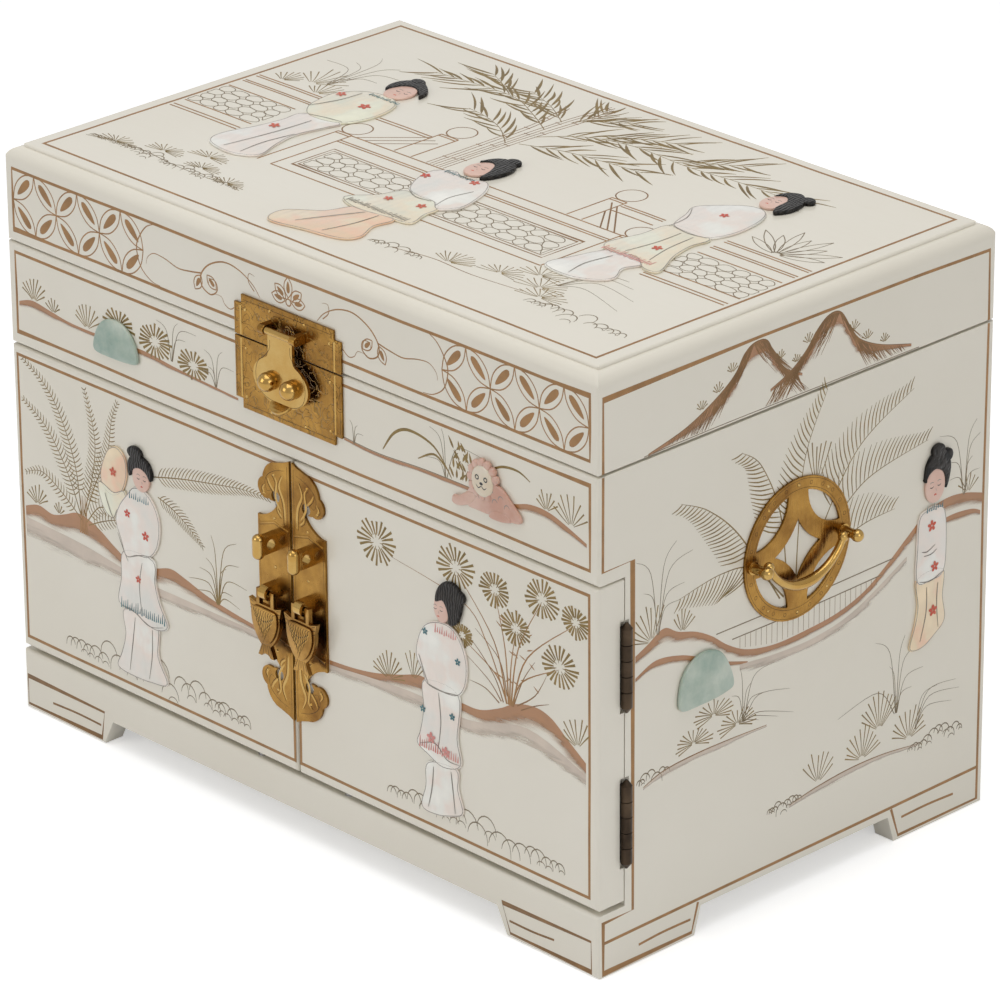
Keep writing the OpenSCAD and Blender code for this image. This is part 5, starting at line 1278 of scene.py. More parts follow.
LADIES = {
    "left_door": {
        "body": "left_door", "place": front_face(), "ink": front_face(INK),
        "parts": [
            ("warm_nacre", [(-103.4, 120), (-100, 125), (-95.4, 126.6), (-91, 123), (-90.6, 116),
                            (-93.6, 109), (-99, 106), (-104, 108), (-105.6, 113)]),
            ("green_nacre", [(-92, 110), (-98, 108), (-106, 110), (-107, 106), (-104, 99), (-99, 96.6),
                             (-96, 101), (-91, 104)]),
            ("nacre", [(-94, 62), (-94, 52), (-96.6, 43), (-99, 36.4), (-90, 35), (-80, 35.6), (-70.6, 38),
                       (-75.4, 48), (-76, 62)]),
            ("nacre", [(-93.4, 86), (-95.6, 74), (-97.4, 63.6), (-90, 62.4), (-83, 59.6), (-76, 58.4),
                       (-69.6, 61.6), (-73.6, 70), (-76, 78), (-77, 87)]),
            ("nacre", [(-90, 110), (-95, 104), (-97.6, 97), (-95, 90), (-92, 83.6), (-86, 85.6), (-79, 87),
                       (-74, 93), (-72.6, 102), (-75, 109), (-80.6, 113.6), (-86.6, 113.4)]),
            ("face", oval(-82.2, 118.4, 4.7, 5.6)),
            ("hair", [(-88.2, 117.6), (-89.2, 122), (-87.4, 125.8), (-82.8, 127.2), (-78, 125.6),
                      (-75.8, 121.6), (-76.6, 118.6), (-79, 121.2), (-82.4, 122.2), (-85.8, 121)]),
            ("hair", oval(-85.2, 127.6, 3.9, 2.6)),
        ],
        "face": (-81.8, 117.8, 5.2, 0.3),
        "flowers": [(-98, 116, 2.2), (-90.6, 101.6, 2.0), (-80.6, 95.4, 2.3), (-85.4, 76.4, 1.8)],
        "hems": [(-95.6, -71, 61.8, "blue_ink", 4.4), (-89, -78, 108.2, "blue_ink", 3.4)],
        "folds": [[(-96.4, 92), (-93.4, 86), (-91, 82)], [(-90, 84), (-84, 86.6), (-77.6, 88)],
                  [(-88, 60), (-90, 48), (-92, 37)], [(-78.4, 58), (-79, 47), (-81, 37)],
                  [(-103, 106), (-100.6, 100), (-98.6, 97)], [(-83, 84), (-85, 74), (-84, 62)],
                  [(-96, 62.6), (-88, 62), (-80, 59), (-72, 61)]],
    },
    "right_door": {
        "body": "right_door", "place": front_face(), "ink": front_face(INK),
        "parts": [
            ("nacre", [(70, 56), (68.4, 46), (66.4, 37), (74, 36), (83, 38.4), (88, 41.6), (85.6, 50),
                            (84.6, 58)]),
            ("nacre", [(68.6, 88), (68, 77), (66, 67), (64.4, 61.4), (70, 58.6), (78, 56), (87, 59.6),
                       (85.6, 70), (86, 88)]),
            ("nacre", [(75, 112.6), (69, 109.4), (65.4, 103), (64.4, 96), (67.6, 91), (70, 86.4), (78, 85.6),
                       (86, 87), (90, 93), (90.4, 102), (87, 109.4), (82, 113)]),
            ("face", oval(78, 118.4, 3.9, 5.4)),
            ("hair", [(75.2, 120.6), (76, 125.4), (79.6, 129.4), (84.8, 130), (88.6, 126.4), (88, 120),
                      (85.8, 115), (82, 113.6), (81.4, 118), (79, 121.8)]),
            ("hair", oval(87.4, 125.6, 2.6, 2.4)),
        ],
        "face": (76.9, 117.6, 4.6, -0.3),
        "flowers": [(69.4, 107, 1.7, "blue_ink"), (86, 100.4, 1.7, "blue_ink"), (67.8, 76.2, 1.7, "blue_ink"),
                    (83, 78, 1.7, "blue_ink"), (72, 66, 2.6, "pink_ink"), (79.6, 63, 2.4, "pink_ink")],
        "hems": [(66, 86, 60.6, "pink_ink", 4.6), (74.6, 85, 108.2, "pink_ink", 3.6)],
        "folds": [[(66, 97), (68.6, 91), (70.6, 87)], [(70.6, 86.8), (78, 86.2), (85.6, 87.4)],
                  [(66, 62), (74, 64.4), (80, 60), (86.4, 60)], [(76, 85), (77, 74), (75.6, 63)],
                  [(73, 55), (72, 46), (70, 38)], [(82, 56), (83, 48), (84, 40)]],
    },
    "top_left": {
        "body": "lid", "place": top_face, "ink": lambda u, v, h: top_face(u, v, h + INK),
        "parts": [
            ("nacre", [(-98, -2), (-99, -12), (-101, -24), (-104.6, -38), (-102, -46), (-93, -49),
                       (-84, -48.4), (-77.6, -43), (-81, -32), (-83.4, -20), (-81, -6), (-81, 0)]),
            ("green_nacre", [(-96, 31), (-102, 27), (-106, 20), (-105.4, 12), (-103, 4), (-97, -2), (-89, -3),
                             (-80.6, 0), (-76.6, 10), (-77, 20), (-80, 27.6), (-86, 31.6)]),
            ("face", oval(-88.4, 37.6, 5.8, 7.0)),
            ("hair", [(-97, 40), (-96.4, 46), (-91.6, 50.6), (-86, 49), (-80.4, 44), (-79.4, 38.6),
                      (-82, 41), (-87, 44), (-92, 42.6), (-94.6, 36)]),
            ("hair", oval(-91.4, 49.6, 3.2, 2.6)),
        ],
        "face": (-87.8, 37.2, 6.2, 0.3),
        "flowers": [(-87, 18, 3.0), (-103, 21, 2.4), (-96, -19, 2.6)],
        "hems": [(-95, -80, 27.6, "blue_ink", 2.4)],
        "folds": [[(-103, 4), (-99, 16), (-98, 27)], [(-96, -2), (-88, 0), (-81, 1)],
                  [(-90, -6), (-91, -24), (-94, -46)], [(-84, -20), (-86, -34), (-85, -46)]],
    },
    "top_middle": {
        "body": "lid", "place": top_face, "ink": lambda u, v, h: top_face(u, v, h + INK),
        "parts": [
            ("warm_nacre", [(-14, -53), (-20, -64), (-31, -74), (-28, -84), (-12, -81.6), (4, -78.4),
                            (8, -72), (4, -62), (4, -52)]),
            ("green_nacre", [(-13.6, -30), (-18, -40), (-25, -50), (-14, -54.6), (0, -53), (11, -51),
                             (9, -42), (8, -34), (1, -30)]),
            ("nacre", [(-14.6, -4), (-21, -9), (-20, -18), (-14, -28), (-6, -31), (2, -31), (8, -35),
                       (13, -28), (11, -18), (7, -9), (1, -3.6), (-8, -7)]),
            ("face", oval(-9.4, 3.6, 5.8, 7.0)),
            ("hair", [(-14.6, 8), (-12.6, 14), (-7.6, 16.6), (-1.6, 14), (0.8, 8), (0, 1), (-3, -3.4),
                      (-4.8, 3), (-8, 9), (-12, 10)]),
            ("hair", oval(-5.4, 16.4, 3.2, 2.6)),
        ],
        "face": (-9.9, 3.2, 6.0, -0.3),
        "flowers": [(-1, -7.6, 2.4), (-19, -15, 2.4), (2, -37, 2.4), (-12, -40, 2.2)],
        "hems": [(-17, -3, -7.6, "blue_ink", 2.6), (-22, 8, -51.6, "grey_ink", 3.4)],
        "folds": [[(5, -14), (3, -24), (5, -33)], [(-13, -29), (-6, -32), (1, -31)],
                  [(-8, -55), (-14, -66), (-20, -78)], [(-2, -54), (-3, -66), (-6, -78)]],
    },
    "top_right": {
        "body": "lid", "place": top_face, "ink": lambda u, v, h: top_face(u, v, h + INK),
        "parts": [
            ("nacre", [(79, -18), (74, -32), (72, -44), (86, -46.4), (96, -42), (99, -36), (95, -28),
                       (97, -20), (88, -17)]),
            ("green_nacre", [(78, 14), (76, 0), (73, -15), (80, -20), (90, -17), (100, -23), (106, -21),
                             (100, -8), (97, 4), (96.6, 14)]),
            ("nacre", [(84, 46), (77, 40), (71, 32), (74, 24), (78, 14), (86, 12), (95.6, 13), (99.4, 22),
                       (99, 33), (96, 42.6), (91, 47)]),
            ("face", oval(89, 55, 5.2, 6.4)),
            ("hair", [(85, 59), (86.6, 64.6), (92, 66.6), (97.6, 61), (99, 53), (96, 47), (93, 51),
                      (92, 57.6), (88.6, 61)]),
            ("hair", oval(96.6, 64, 3.0, 2.6)),
        ],
        "face": (88.2, 54.8, 5.6, -0.3),
        "flowers": [(85, 33, 2.2), (90, -6, 2.4)],
        "hems": [(76, 100, -20, "pink_ink", 4.0)],
        "folds": [[(72, 30), (77, 22), (78, 12)], [(79, 13), (88, 11.6), (96, 13)],
                  [(86, 10), (86, -2), (84, -16)], [(84, -22), (82, -34), (84, -44)],
                  [(92, 10), (93, -4), (96, -16)]],
    },
}
SIDE_LADY = {
    "parts": [
        ("warm_nacre", [(61, 103), (61.4, 92), (60, 84), (57.6, 75.4), (64, 74), (70.6, 77), (76.4, 82),
                        (75, 92), (74.6, 103)]),
        ("nacre", [(61.4, 126), (60.4, 114), (60.8, 101), (68, 99.6), (75, 101.4), (76.4, 114), (75, 126),
                   (70, 129), (65.6, 128.6)]),
        ("face", oval(69.4, 137, 5.2, 6.8)),
        ("hair", [(63.8, 139.6), (64.6, 146), (68.6, 150), (74.4, 149.6), (77.2, 144), (76.4, 137.6),
                  (74.6, 134.6), (73.6, 140.6), (69.4, 143.4), (65.6, 142)]),
        ("hair", oval(70.6, 150.4, 3.4, 2.6)),
        ("hair", oval(75.6, 147.2, 2.6, 2.6)),
    ],
    "face": (69.2, 136.6, 5.8, 0.0),
    "flowers": [(68, 121.6, 2.6), (70, 105, 2.4), (69.6, 87.6, 2.6)],
    "hems": [(65.4, 73.6, 127.2, "blue_ink", 3.0)],
    "folds": [[(63, 112.6), (66, 112), (70, 113.6)], [(64, 110.6), (68, 110.4), (71, 111.6)],
              [(62, 101), (68, 99.8), (74.6, 101.6)], [(66, 98), (66, 88), (63, 77)],
              [(72, 98), (71.6, 90), (72.6, 80)]],
}


def lady(name, d):
    """One figure: robe, face and hair cut from shell and stone, with inked details and painted edge shade on
    top.
    """
    made = []
    b = Brush(f"ink_{name}", d["body"], d["ink"])
    for i, (finish, outline) in enumerate(d["parts"]):
        thick, edge = {"face": (1.15, 0.5), "hair": (1.5, 0.55)}.get(finish, (0.86, 0.32))
        made.append(relief(f"{name}_{i}", outline, finish, d["body"], d["place"], thick + 0.03 * i, edge))
        if finish.endswith("nacre"):
            # A grey line just inside each shell part's edge is painted shade where its rounded edge falls away
            line = smooth(outline, 5, True)
            b.lift = 0.03 * i - 0.13
            b.stroke("grey_ink", inset(line, 0.45), 0.38, "even", closed=True, rise=0.05)
            b.lift = 0.0
    join(f"lady_{name}", made)
    for x, y, r, *paint in d["flowers"]:
        blossom(b, x, y, r, *paint)
    for x0, x1, y, paint, rise in d["hems"]:
        hem(b, x0, x1, y, paint, rise)
    folds(b, d["folds"])
    base = d["ink"]
    b.finish()
    lift = 0.17 + 0.03 * next(i for i, part in enumerate(d["parts"]) if part[0] == "face")
    f = Brush(f"face_{name}", d["body"], lambda u, v, h: base(u, v, h + lift))
    calm_face(f, *d["face"])
    f.finish()


class BOX_OT_relief(Operator):
    """Lay the shell ladies, the stone rocks and the small lion on the panels"""

    bl_idname = "jewel_box.relief"
    bl_label = "Shell and stone relief"

    def execute(self, context):
        for name, d in LADIES.items():
            lady(name, d)
        for side, name in ((1, "side_right"), (-1, "side_left")):
            lady(name, {**SIDE_LADY, "body": "case", "place": side_face(side), "ink": side_face(side, INK)})
            relief(f"rock_{name}", [(-60.6, 91.6), (-61, 100), (-57.6, 107), (-50, 110.6), (-42, 109),
                                    (-37, 103), (-34, 94), (-38, 91.4), (-50, 90.6)],
                   "jade_stone", "case", side_face(side), 1.6, 0.7)
        front = front_face()
        relief("rock_fascia", [(-106, 163), (-105, 170), (-101, 175.4), (-95, 177.6), (-88, 176),
                               (-83.4, 171), (-81.8, 164.4), (-86, 162.6), (-98, 162)], "jade_stone",
                               "case", front, 1.6, 0.7)
        self.lion(front)
        return {"FINISHED"}

    def lion(self, place):
        """A small crouching lion in pink stone, its mane in curls."""
        parts = [
            relief("lion_body", [(92, 163), (97, 162.4), (108, 162.6), (117.4, 163.4), (118.4, 166),
                                 (114, 170), (109, 174), (103, 175), (96, 173), (92, 168)], "soapstone",
                                 "case", place,
                   1.5, 0.6),
            relief("lion_paw", [(84.6, 162), (88, 161.4), (94, 164), (97, 168), (93, 168.6), (88, 165.4),
                                (85, 164.6)], "soapstone", "case", place, 1.8, 0.7),
            relief("lion_paw_b", [(103, 161.8), (109, 161.6), (114, 163), (112, 165.4), (105, 165)],
                   "soapstone", "case", place, 1.8, 0.7),
            relief("lion_head", oval(100, 174.4, 5.4, 6.0), "bone", "case", place, 2.2, 1.0),
        ]
        for k in range(11):
            a = 15 + k * 28
            p = polar(100, 174.8, 6.2, a)
            parts.append(relief(f"curl_{k}", oval(p[0], p[1], 1.7, 1.7, 10), "soapstone", "case", place, 1.9,
                                0.7, steps=2))
        join("lion", parts)
        b = Brush("ink_lion", "case", front_face(2.2))
        for k in (-1, 1):
            b.stroke("black_ink", arc(100 + k * 2.1, 175.6, 0.8, 0, 360, 8), 0.5, "even")
            b.curve("black_ink", [(100, 172.8), (100 + k * 1.4, 171.8), (100 + k * 2.6, 172.8)], 0.4, "brush")
        b.wash("black_ink", oval(100, 173.6, 0.9, 0.6, 8))
        b.finish()
        b = Brush("ink_lion_body", "case", front_face(1.5))
        for x, y in ((109, 170), (112, 167.6), (106, 168), (104, 171), (97, 167)):
            b.stroke("grey_ink", arc(x, y, 1.3, 200, 20, 7), 0.4, "brush")
        b.finish()


# ---- brass -------------------------------------------------------------------------------


def copy_of(node):
    """A CAD node's mesh copied to a new object, merged and with its flat faces made whole."""
    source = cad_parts[node]
    piece = new_piece(f"{node}_fine", source.data.copy())
    piece.matrix_world = Matrix.Identity(4)
    select_only(piece)
    bpy.ops.mesh.customdata_custom_splitnormals_clear()
    bpy.ops.object.mode_set(mode="EDIT")
    bpy.ops.mesh.select_all(action="SELECT")
    bpy.ops.mesh.remove_doubles(threshold=0.000002)
    bpy.ops.mesh.dissolve_limited(angle_limit=math.radians(0.6))
    bpy.ops.object.mode_set(mode="OBJECT")
    return piece


def softened(node, body, width, angle=40):
    """The same piece with its sharp edges eased, in place of the CAD node."""
    piece = copy_of(node)
    bevel = piece.modifiers.new("Ease", "BEVEL")
    bevel.width = width * MM
    bevel.segments = 2
    bevel.limit_method = "ANGLE"
    bevel.angle_limit = math.radians(angle)
    bevel.use_clamp_overlap = True
    select_only(piece)
    bpy.ops.object.modifier_apply(modifier="Ease")
    bpy.ops.object.shade_smooth_by_angle(angle=math.radians(35))
    level = piece.modifiers.new("Level", "WEIGHTED_NORMAL")
    level.keep_sharp = True
    bpy.ops.object.modifier_apply(modifier="Level")
    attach(piece, body)
    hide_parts(node)
    return piece


def nail_set(name, body, spots):
    """Round nail heads, modelled once and copied: each spot is a place and a direction."""
    radius = settings().box_brass.nail_radius
    bpy.ops.object.select_all(action="DESELECT")
    bpy.ops.mesh.primitive_uv_sphere_add(segments=14, ring_count=8, radius=radius * MM)
    first = bpy.context.object
    bpy.ops.object.mode_set(mode="EDIT")
    bpy.ops.mesh.select_all(action="SELECT")
    bpy.ops.mesh.bisect(plane_co=(0, 0, -0.15 * radius * MM), plane_no=(0, 0, 1), clear_inner=True)
    bpy.ops.object.mode_set(mode="OBJECT")
    made = []
    for place, aim in spots:
        turn = Vector((0, 0, 1)).rotation_difference(Vector(aim)).to_matrix().to_4x4()
        mesh = first.data.copy()
        mesh.transform(Matrix.Translation(Vector(place) * MM) @ turn @ Matrix.Diagonal((1, 1, 0.62, 1)))
        made.append(new_piece(name, mesh))
    bpy.data.objects.remove(first)
    piece = join(name, made)
    select_only(piece)
    bpy.ops.object.shade_smooth()
    coat(piece, "cast_brass")
    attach(piece, body)
    return piece


class BOX_OT_clasp(Operator):
    """Finish the clasp: eased plates, raised band, nails, engraving and the hasp"""

    bl_idname = "jewel_box.clasp"
    bl_label = "Clasp"

    def execute(self, context):
        softened("clasp_plate_lower", "case", 0.25)
        softened("clasp_plate_upper", "lid", 0.25)
        softened("hasp_bracket", "lid", 0.3)
        softened("hasp_plate", "hasp", 0.28)
        for name, body, low, high in (("lower", "case", 165.2, 191.4), ("upper", "lid", 192.6, 207.2)):
            b = Brush(f"clasp_{name}", body, front_face(PLATE))
            # Each raised band is paler cast brass, a painted highlight along it; the dark lines beside it and
            # along the plate's edge are painted shade of engraved cuts
            for s in (-1, 1):
                b.stroke("cast_brass", [(s * 24.6, low + 3.4 * (name == "lower")),
                                        (s * 24.6, high - 3.2 * (name == "upper"))], 0.9, "even", rise=0.32)
                for x in (23.9, 27.2):
                    b.stroke("shade_and_grime_line", [(s * x, low + 4), (s * x, high - 3.6)], 0.26, "even",
                             rise=ENGRAVED)
            y = low + 0.9 if name == "lower" else high - 0.9
            b.stroke("shade_and_grime_line", [(-23, y), (23, y)], 0.24, "even", rise=ENGRAVED)
            b.finish()
        spots = [((s * x, -101.0, z), (0, -1, 0)) for s in (-1, 1)
                 for x, z in ((22.1, 187.9), (22.1, 169.2), (9, 166.8))]
        nail_set("clasp_nails_lower", "case", spots)
        spots = [((s * x, -101.0, z), (0, -1, 0)) for s in (-1, 1) for x, z in ((22.1, 202.6), (9, 205.8))]
        nail_set("clasp_nails_upper", "lid", spots)
        b = Brush("hasp_lines", "hasp", front_face(4.6))
        edge = [(-5.2, 197), (-5.6, 193.4), (-8.6, 189.8), (-11.8, 187), (-13, 182), (-11.4, 177),
                (-7, 174.4), (0, 173.8), (7, 174.4), (11.4, 177), (13, 182), (11.8, 187), (8.6, 189.8),
                (5.6, 193.4), (5.2, 197)]
        # The dark line round the hasp is painted shade of an engraved cut
        b.stroke("shade_and_grime_line", smooth(edge, 5), 0.24, "even", rise=ENGRAVED)
        b.finish()
        return {"FINISHED"}


class BOX_OT_door_furniture(Operator):
    """Finish the long plates, staples and fish pulls of the doors"""

    bl_idname = "jewel_box.door_furniture"
    bl_label = "Door furniture"

    def execute(self, context):
        for s, side in ((-1, "left"), (1, "right")):
            body = f"{side}_door"
            softened(f"door_plate_{side}", body, 0.25)
            softened(f"door_staples_{side}", body, 0.22)
            self.plate_marks(s, side, body)
            spots = [((s * 8.8, -101.0, z), (0, -1, 0)) for z in (142.6, 125.6, 106.4, 73, 57.4)]
            spots += [((s * x, -101.0, z), (0, -1, 0)) for x, z in ((14.2, 134.2), (14.2, 63.6))]
            nail_set(f"door_nails_{side}", body, spots)
            self.fish(s, side)
        return {"FINISHED"}

    def plate_marks(self, s, side, body):
        b = Brush(f"door_plate_marks_{side}", body, front_face(PLATE))
        for z in (121.6, 76.4):
            b.stroke("sheet_brass", [(s * 1.6, z + 0.6), (s * 9, z + 2.6), (s * 16.8, z)], 0.8, "even",
                     rise=0.22)
            # A dark line just under each raised ridge: its painted shadow
            b.stroke("shade_and_grime_line", [(s * 1.6, z - 0.2), (s * 9, z + 1.8), (s * 16.8, z - 0.8)], 0.22, "even",
                     rise=ENGRAVED)
        # Dark lines along the plate's edges and the scrolls: painted shade of engraved cuts
        b.stroke("shade_and_grime_line", [(s * 16.9, 123), (s * 16.9, 75)], 0.2, "even", rise=ENGRAVED)
        b.stroke("shade_and_grime_line", [(s * 1.7, 148), (s * 1.7, 50)], 0.2, "even", rise=ENGRAVED)
        for k in (1, -1):
            def at(x, v, k=k):
                return s * x, 98.9 + k * v
            b.stroke("shade_and_grime_line", smooth([at(3, 47), at(8, 45.6), at(12, 43), at(13.6, 39.6),
                                            at(12.4, 36.6), at(9.6, 38)], 5), 0.26, "brush", rise=ENGRAVED)
            for line, w in (([(3, 26), (3.6, 34), (6, 40), (4, 45)], 1.1),
                            ([(5, 30), (8, 35), (7.4, 41), (9, 43.6)], 1.0),
                            ([(8.6, 37), (11, 39.6), (12.2, 42)], 0.9),
                            ([(13.4, 34.6), (14.8, 36.8), (13.6, 38.8)], 0.8),
                            ([(4.4, 28), (6.6, 30), (7.2, 33)], 0.7)):
                # Each raised leaf is paler cast brass, a painted highlight, with a dark line offset beside it
                # as its painted shadow
                b.curve("cast_brass", [at(x, v) for x, v in line], w, "leaf")
                b.curve("shade_and_grime_line", [at(x + 0.8, v - 0.3) for x, v in line], 0.24, "brush")
        b.finish()

    def fish(self, s, side):
        """A swelling body with rows of scales, gills and a rayed tail."""
        body = f"{side}_pull"
        x0, z0 = s * 9.4, 97.5
        softened(f"fish_pull_{side}", body, 0.35)
        for face, tone in ((1, "front"), (-1, "back")):
            level = 5.2 + 0.9 if face > 0 else 5.2 - 0.9
            def place(u, v, h, f=face, lv=level):
                return Vector((x0 + u, -100 - lv - f * h, z0 + v)) * MM
            relief(f"fish_body_{side}_{tone}", [(-5.6, -6.4), (-6.6, -9), (-6.4, -12.4), (-4.8, -16.4),
                                                (-2.4, -19.4), (0, -20.2), (2.4, -19.4), (4.8, -16.4),
                                                (6.4, -12.4), (6.6, -9), (5.6, -6.4), (0, -6.0)],
                   "old_brass", body, place, 0.9, 0.42)
            b = Brush(f"fish_scales_{side}_{tone}", body,
                      lambda u, v, h, p=place: p(u, v, h + 0.9))
            for k in range(-4, 5):
                low = -19.2 + abs(k) * 1.4
                line = [(k * 1.35 * (1 - 0.5 * t) + 0.28 * (-1) ** j, -6.8 + (low + 6.8) * t)
                        for j, t in enumerate(i / 7 for i in range(8))]
                # Each row of scales is a dark line, painted shade of an engraved cut, with a paler cast-brass
                # line beside it as a painted highlight
                b.curve("shade_and_grime_line", line, 0.36, "brush")
                b.curve("cast_brass", [(x + 0.45, z) for x, z in line[:-1]], 0.3, "brush")
            # The gill arc is painted shade of an engraved cut too
            b.stroke("shade_and_grime_line", arc(0, -5.6, 5.4, 215, 325, 10), 0.34, "even", rise=0.05)
            b.finish()
            t = Brush(f"fish_tail_{side}_{tone}", body, place)
            # Tail rays and side marks are dark lines: painted shade of engraved cuts
            for k in range(5):
                a = -90 + (k - 2) * 11
                t.stroke("shade_and_grime_line", [polar(0, -16.4, 4.4, a), polar(0, -16.4, 8.4 if k != 2 else 7.2, a)],
                         0.3, "even", rise=0.04)
            for k in (-1, 1):
                for j in range(3):
                    t.stroke("shade_and_grime_line", [(k * (6.2 + 0.1 * j), -5.4 - j * 1.5),
                                             (k * 7.9, -4.9 - j * 1.5)], 0.28, "even", rise=0.04)
            t.finish()


class BOX_OT_side_handles(Operator):
    """Finish the round side plates and the bail handles"""

    bl_idname = "jewel_box.side_handles"
    bl_label = "Side handles"

    def execute(self, context):
        softened("handle_plates", "case", 0.25)
        softened("handle_posts", "case", 0.2, 60)
        for s, side in ((-1, "left"), (1, "right")):
            self.bail(s, side)
            b = Brush(f"ring_marks_{side}", "case", side_face(s, PLATE))
            # Engraved rings and dots drawn as dark lines: painted shade of the cuts, with their dirt
            b.stroke("shade_and_grime_line", arc(BAIL_Y, BAIL_Z, 26.2, 0, 354, 60), 0.2, "even",
                     closed=True, rise=ENGRAVED)
            b.stroke("shade_and_grime_line", arc(BAIL_Y, BAIL_Z, 22.8, 0, 354, 60), 0.2, "even",
                     closed=True, rise=ENGRAVED)
            for k in range(24):
                x, y = polar(BAIL_Y, BAIL_Z, 24.5, k * 15)
                b.stroke("shade_and_grime_line", arc(x, y, 0.7, 0, 360, 8), 0.2, "even", rise=ENGRAVED)
            b.finish()
            spots = [((s * 156.0, -2 + 24.4 * math.cos(a), 135 + 24.4 * math.sin(a)), (s, 0, 0))
                     for a in (math.radians(d) for d in (52, 90, 128, 232, 270, 308))]
            nail_set(f"ring_nails_{side}", "case", spots)
        return {"FINISHED"}

    def bail(self, s, side):
        """A drawn bar that swells towards the middle of the grip, with balls on its ends."""
        end, drop = 18.9, 11.8
        r = (end * end + drop * drop) / (2 * drop)
        half = math.degrees(math.asin(end / r))
        bpy.ops.object.select_all(action="DESELECT")
        bpy.ops.mesh.primitive_circle_add(vertices=20, radius=MM, rotation=(math.pi / 2, 0, 0))
        piece = bpy.context.object
        rings = 40
        ring = [v.co.copy() for v in piece.data.vertices]
        mesh = bpy.data.meshes.new("bail")
        verts, faces = [], []
        for k in range(rings + 1):
            t = -1 + 2 * k / rings
            a = math.radians(t * half)
            fat = 1.38 + 0.68 * math.exp(-(t / 0.46) ** 2)
            for p in ring:
                u, w = p.x / MM, p.y / MM
                rad = r + u * fat
                verts.append(Vector((s * (BAIL_X + w * fat), BAIL_Y + rad * math.sin(a),
                                     BAIL_Z + (r - drop) - rad * math.cos(a))) * MM)
        n = len(ring)
        for k in range(rings):
            for i in range(n):
                j = (i + 1) % n
                faces.append((k * n + i, k * n + j, (k + 1) * n + j, (k + 1) * n + i))
        faces += [tuple(range(n)), tuple(range(rings * n, rings * n + n))]
        mesh.from_pydata(verts, [], faces)
        bpy.data.objects.remove(piece)
        piece = new_piece(f"bail_{side}", mesh)
        ends = []
        for k in (-1, 1):
            bpy.ops.object.select_all(action="DESELECT")
            bpy.ops.mesh.primitive_uv_sphere_add(segments=24, ring_count=14, radius=1.98 * MM)
            ball = bpy.context.object
            ball.data.transform(Matrix.Translation(Vector((s * BAIL_X, BAIL_Y + k * end, BAIL_Z)) * MM))
            ends.append(ball)
            bpy.ops.object.select_all(action="DESELECT")
            bpy.ops.mesh.primitive_cylinder_add(vertices=20, radius=0.88 * MM, depth=6.3 * MM,
                                                rotation=(math.pi / 2, 0, 0))
            pin = bpy.context.object
            bpy.ops.object.transform_apply(location=True, rotation=True, scale=True)
            middle = Vector((s * BAIL_X, BAIL_Y + k * (end + 3.2), BAIL_Z)) * MM
            pin.data.transform(Matrix.Translation(middle))
            ends.append(pin)
        piece = join(f"bail_{side}", [piece] + ends)
        piece.data.transform(piece.matrix_world)
        piece.matrix_world = Matrix.Identity(4)
        select_only(piece)
        clean_up()
        bpy.ops.object.shade_smooth_by_angle(angle=math.radians(50))
        coat(piece, "cast_brass")
        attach(piece, f"{side}_bail")
        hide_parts(f"handle_bail_{side}")


# ---- inside ------------------------------------------------------------------------------


class BOX_OT_ring_rolls(Operator):
    """Upholster the ring rolls: soft velvet rolls with gathered ends"""

    bl_idname = "jewel_box.ring_rolls"
    bl_label = "Ring rolls"

    def execute(self, context):
        low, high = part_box("ring_rolls")
        length = (high[0] - low[0]) / MM
        radius = (high[2] - low[2]) / MM / 2
        z = (high[2] + low[2]) / 2 / MM
        count = 8
        span = (high[1] - low[1]) / MM - 2 * radius
        first = self.roll(length, radius)
        pieces = [first] + [new_piece("roll", first.data.copy()) for _ in range(count - 1)]
        for k, piece in enumerate(pieces):
            piece.name = f"ring_roll_{k + 1}"
            y = low[1] / MM + radius + span * k / (count - 1)
            piece.data.transform(Matrix.Translation(Vector((0, y, z)) * MM))
            coat(piece, "velvet")
            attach(piece, "case")
        for piece in pieces:
            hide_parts("ring_rolls")
        return {"FINISHED"}

    def roll(self, length, radius):
        bpy.ops.object.select_all(action="DESELECT")
        bpy.ops.mesh.primitive_cylinder_add(vertices=48, radius=radius * MM, depth=length * MM,
                                            end_fill_type="TRIFAN", rotation=(0, math.pi / 2, 0))
        piece = bpy.context.object
        bpy.ops.object.transform_apply(location=True, rotation=True, scale=True)
        bpy.ops.object.mode_set(mode="EDIT")
        bpy.ops.mesh.select_all(action="SELECT")
        bpy.ops.mesh.subdivide(number_cuts=1)
        bpy.ops.object.mode_set(mode="OBJECT")
        bm = bmesh.new()
        bm.from_mesh(piece.data)
        long = [e for e in bm.edges if abs(e.verts[0].co.x - e.verts[1].co.x) > length * 0.2 * MM]
        bmesh.ops.subdivide_edges(bm, edges=long, cuts=12, use_grid_fill=True)
        half = length * 0.5 * MM
        for v in bm.verts:
            f = v.co.x / half
            a = math.atan2(v.co.z, v.co.y)
            ring = math.hypot(v.co.y, v.co.z) / (radius * MM)
            swell = 1.0 - 0.10 * abs(f) ** 8 - 0.012 * math.sin(26 * f) ** 2
            pucker = 1.0 - 0.02 * math.sin(12 * a) * abs(f) ** 6
            v.co.y *= swell * pucker
            v.co.z *= swell * pucker
            if abs(f) > 0.999:
                v.co.x -= math.copysign(1.6 * MM * (1 - ring) ** 0.5, f) if ring < 1 else 0
        bm.to_mesh(piece.data)
        bm.free()
        select_only(piece)
        bpy.ops.object.shade_smooth_by_angle(angle=math.radians(55))
        return piece


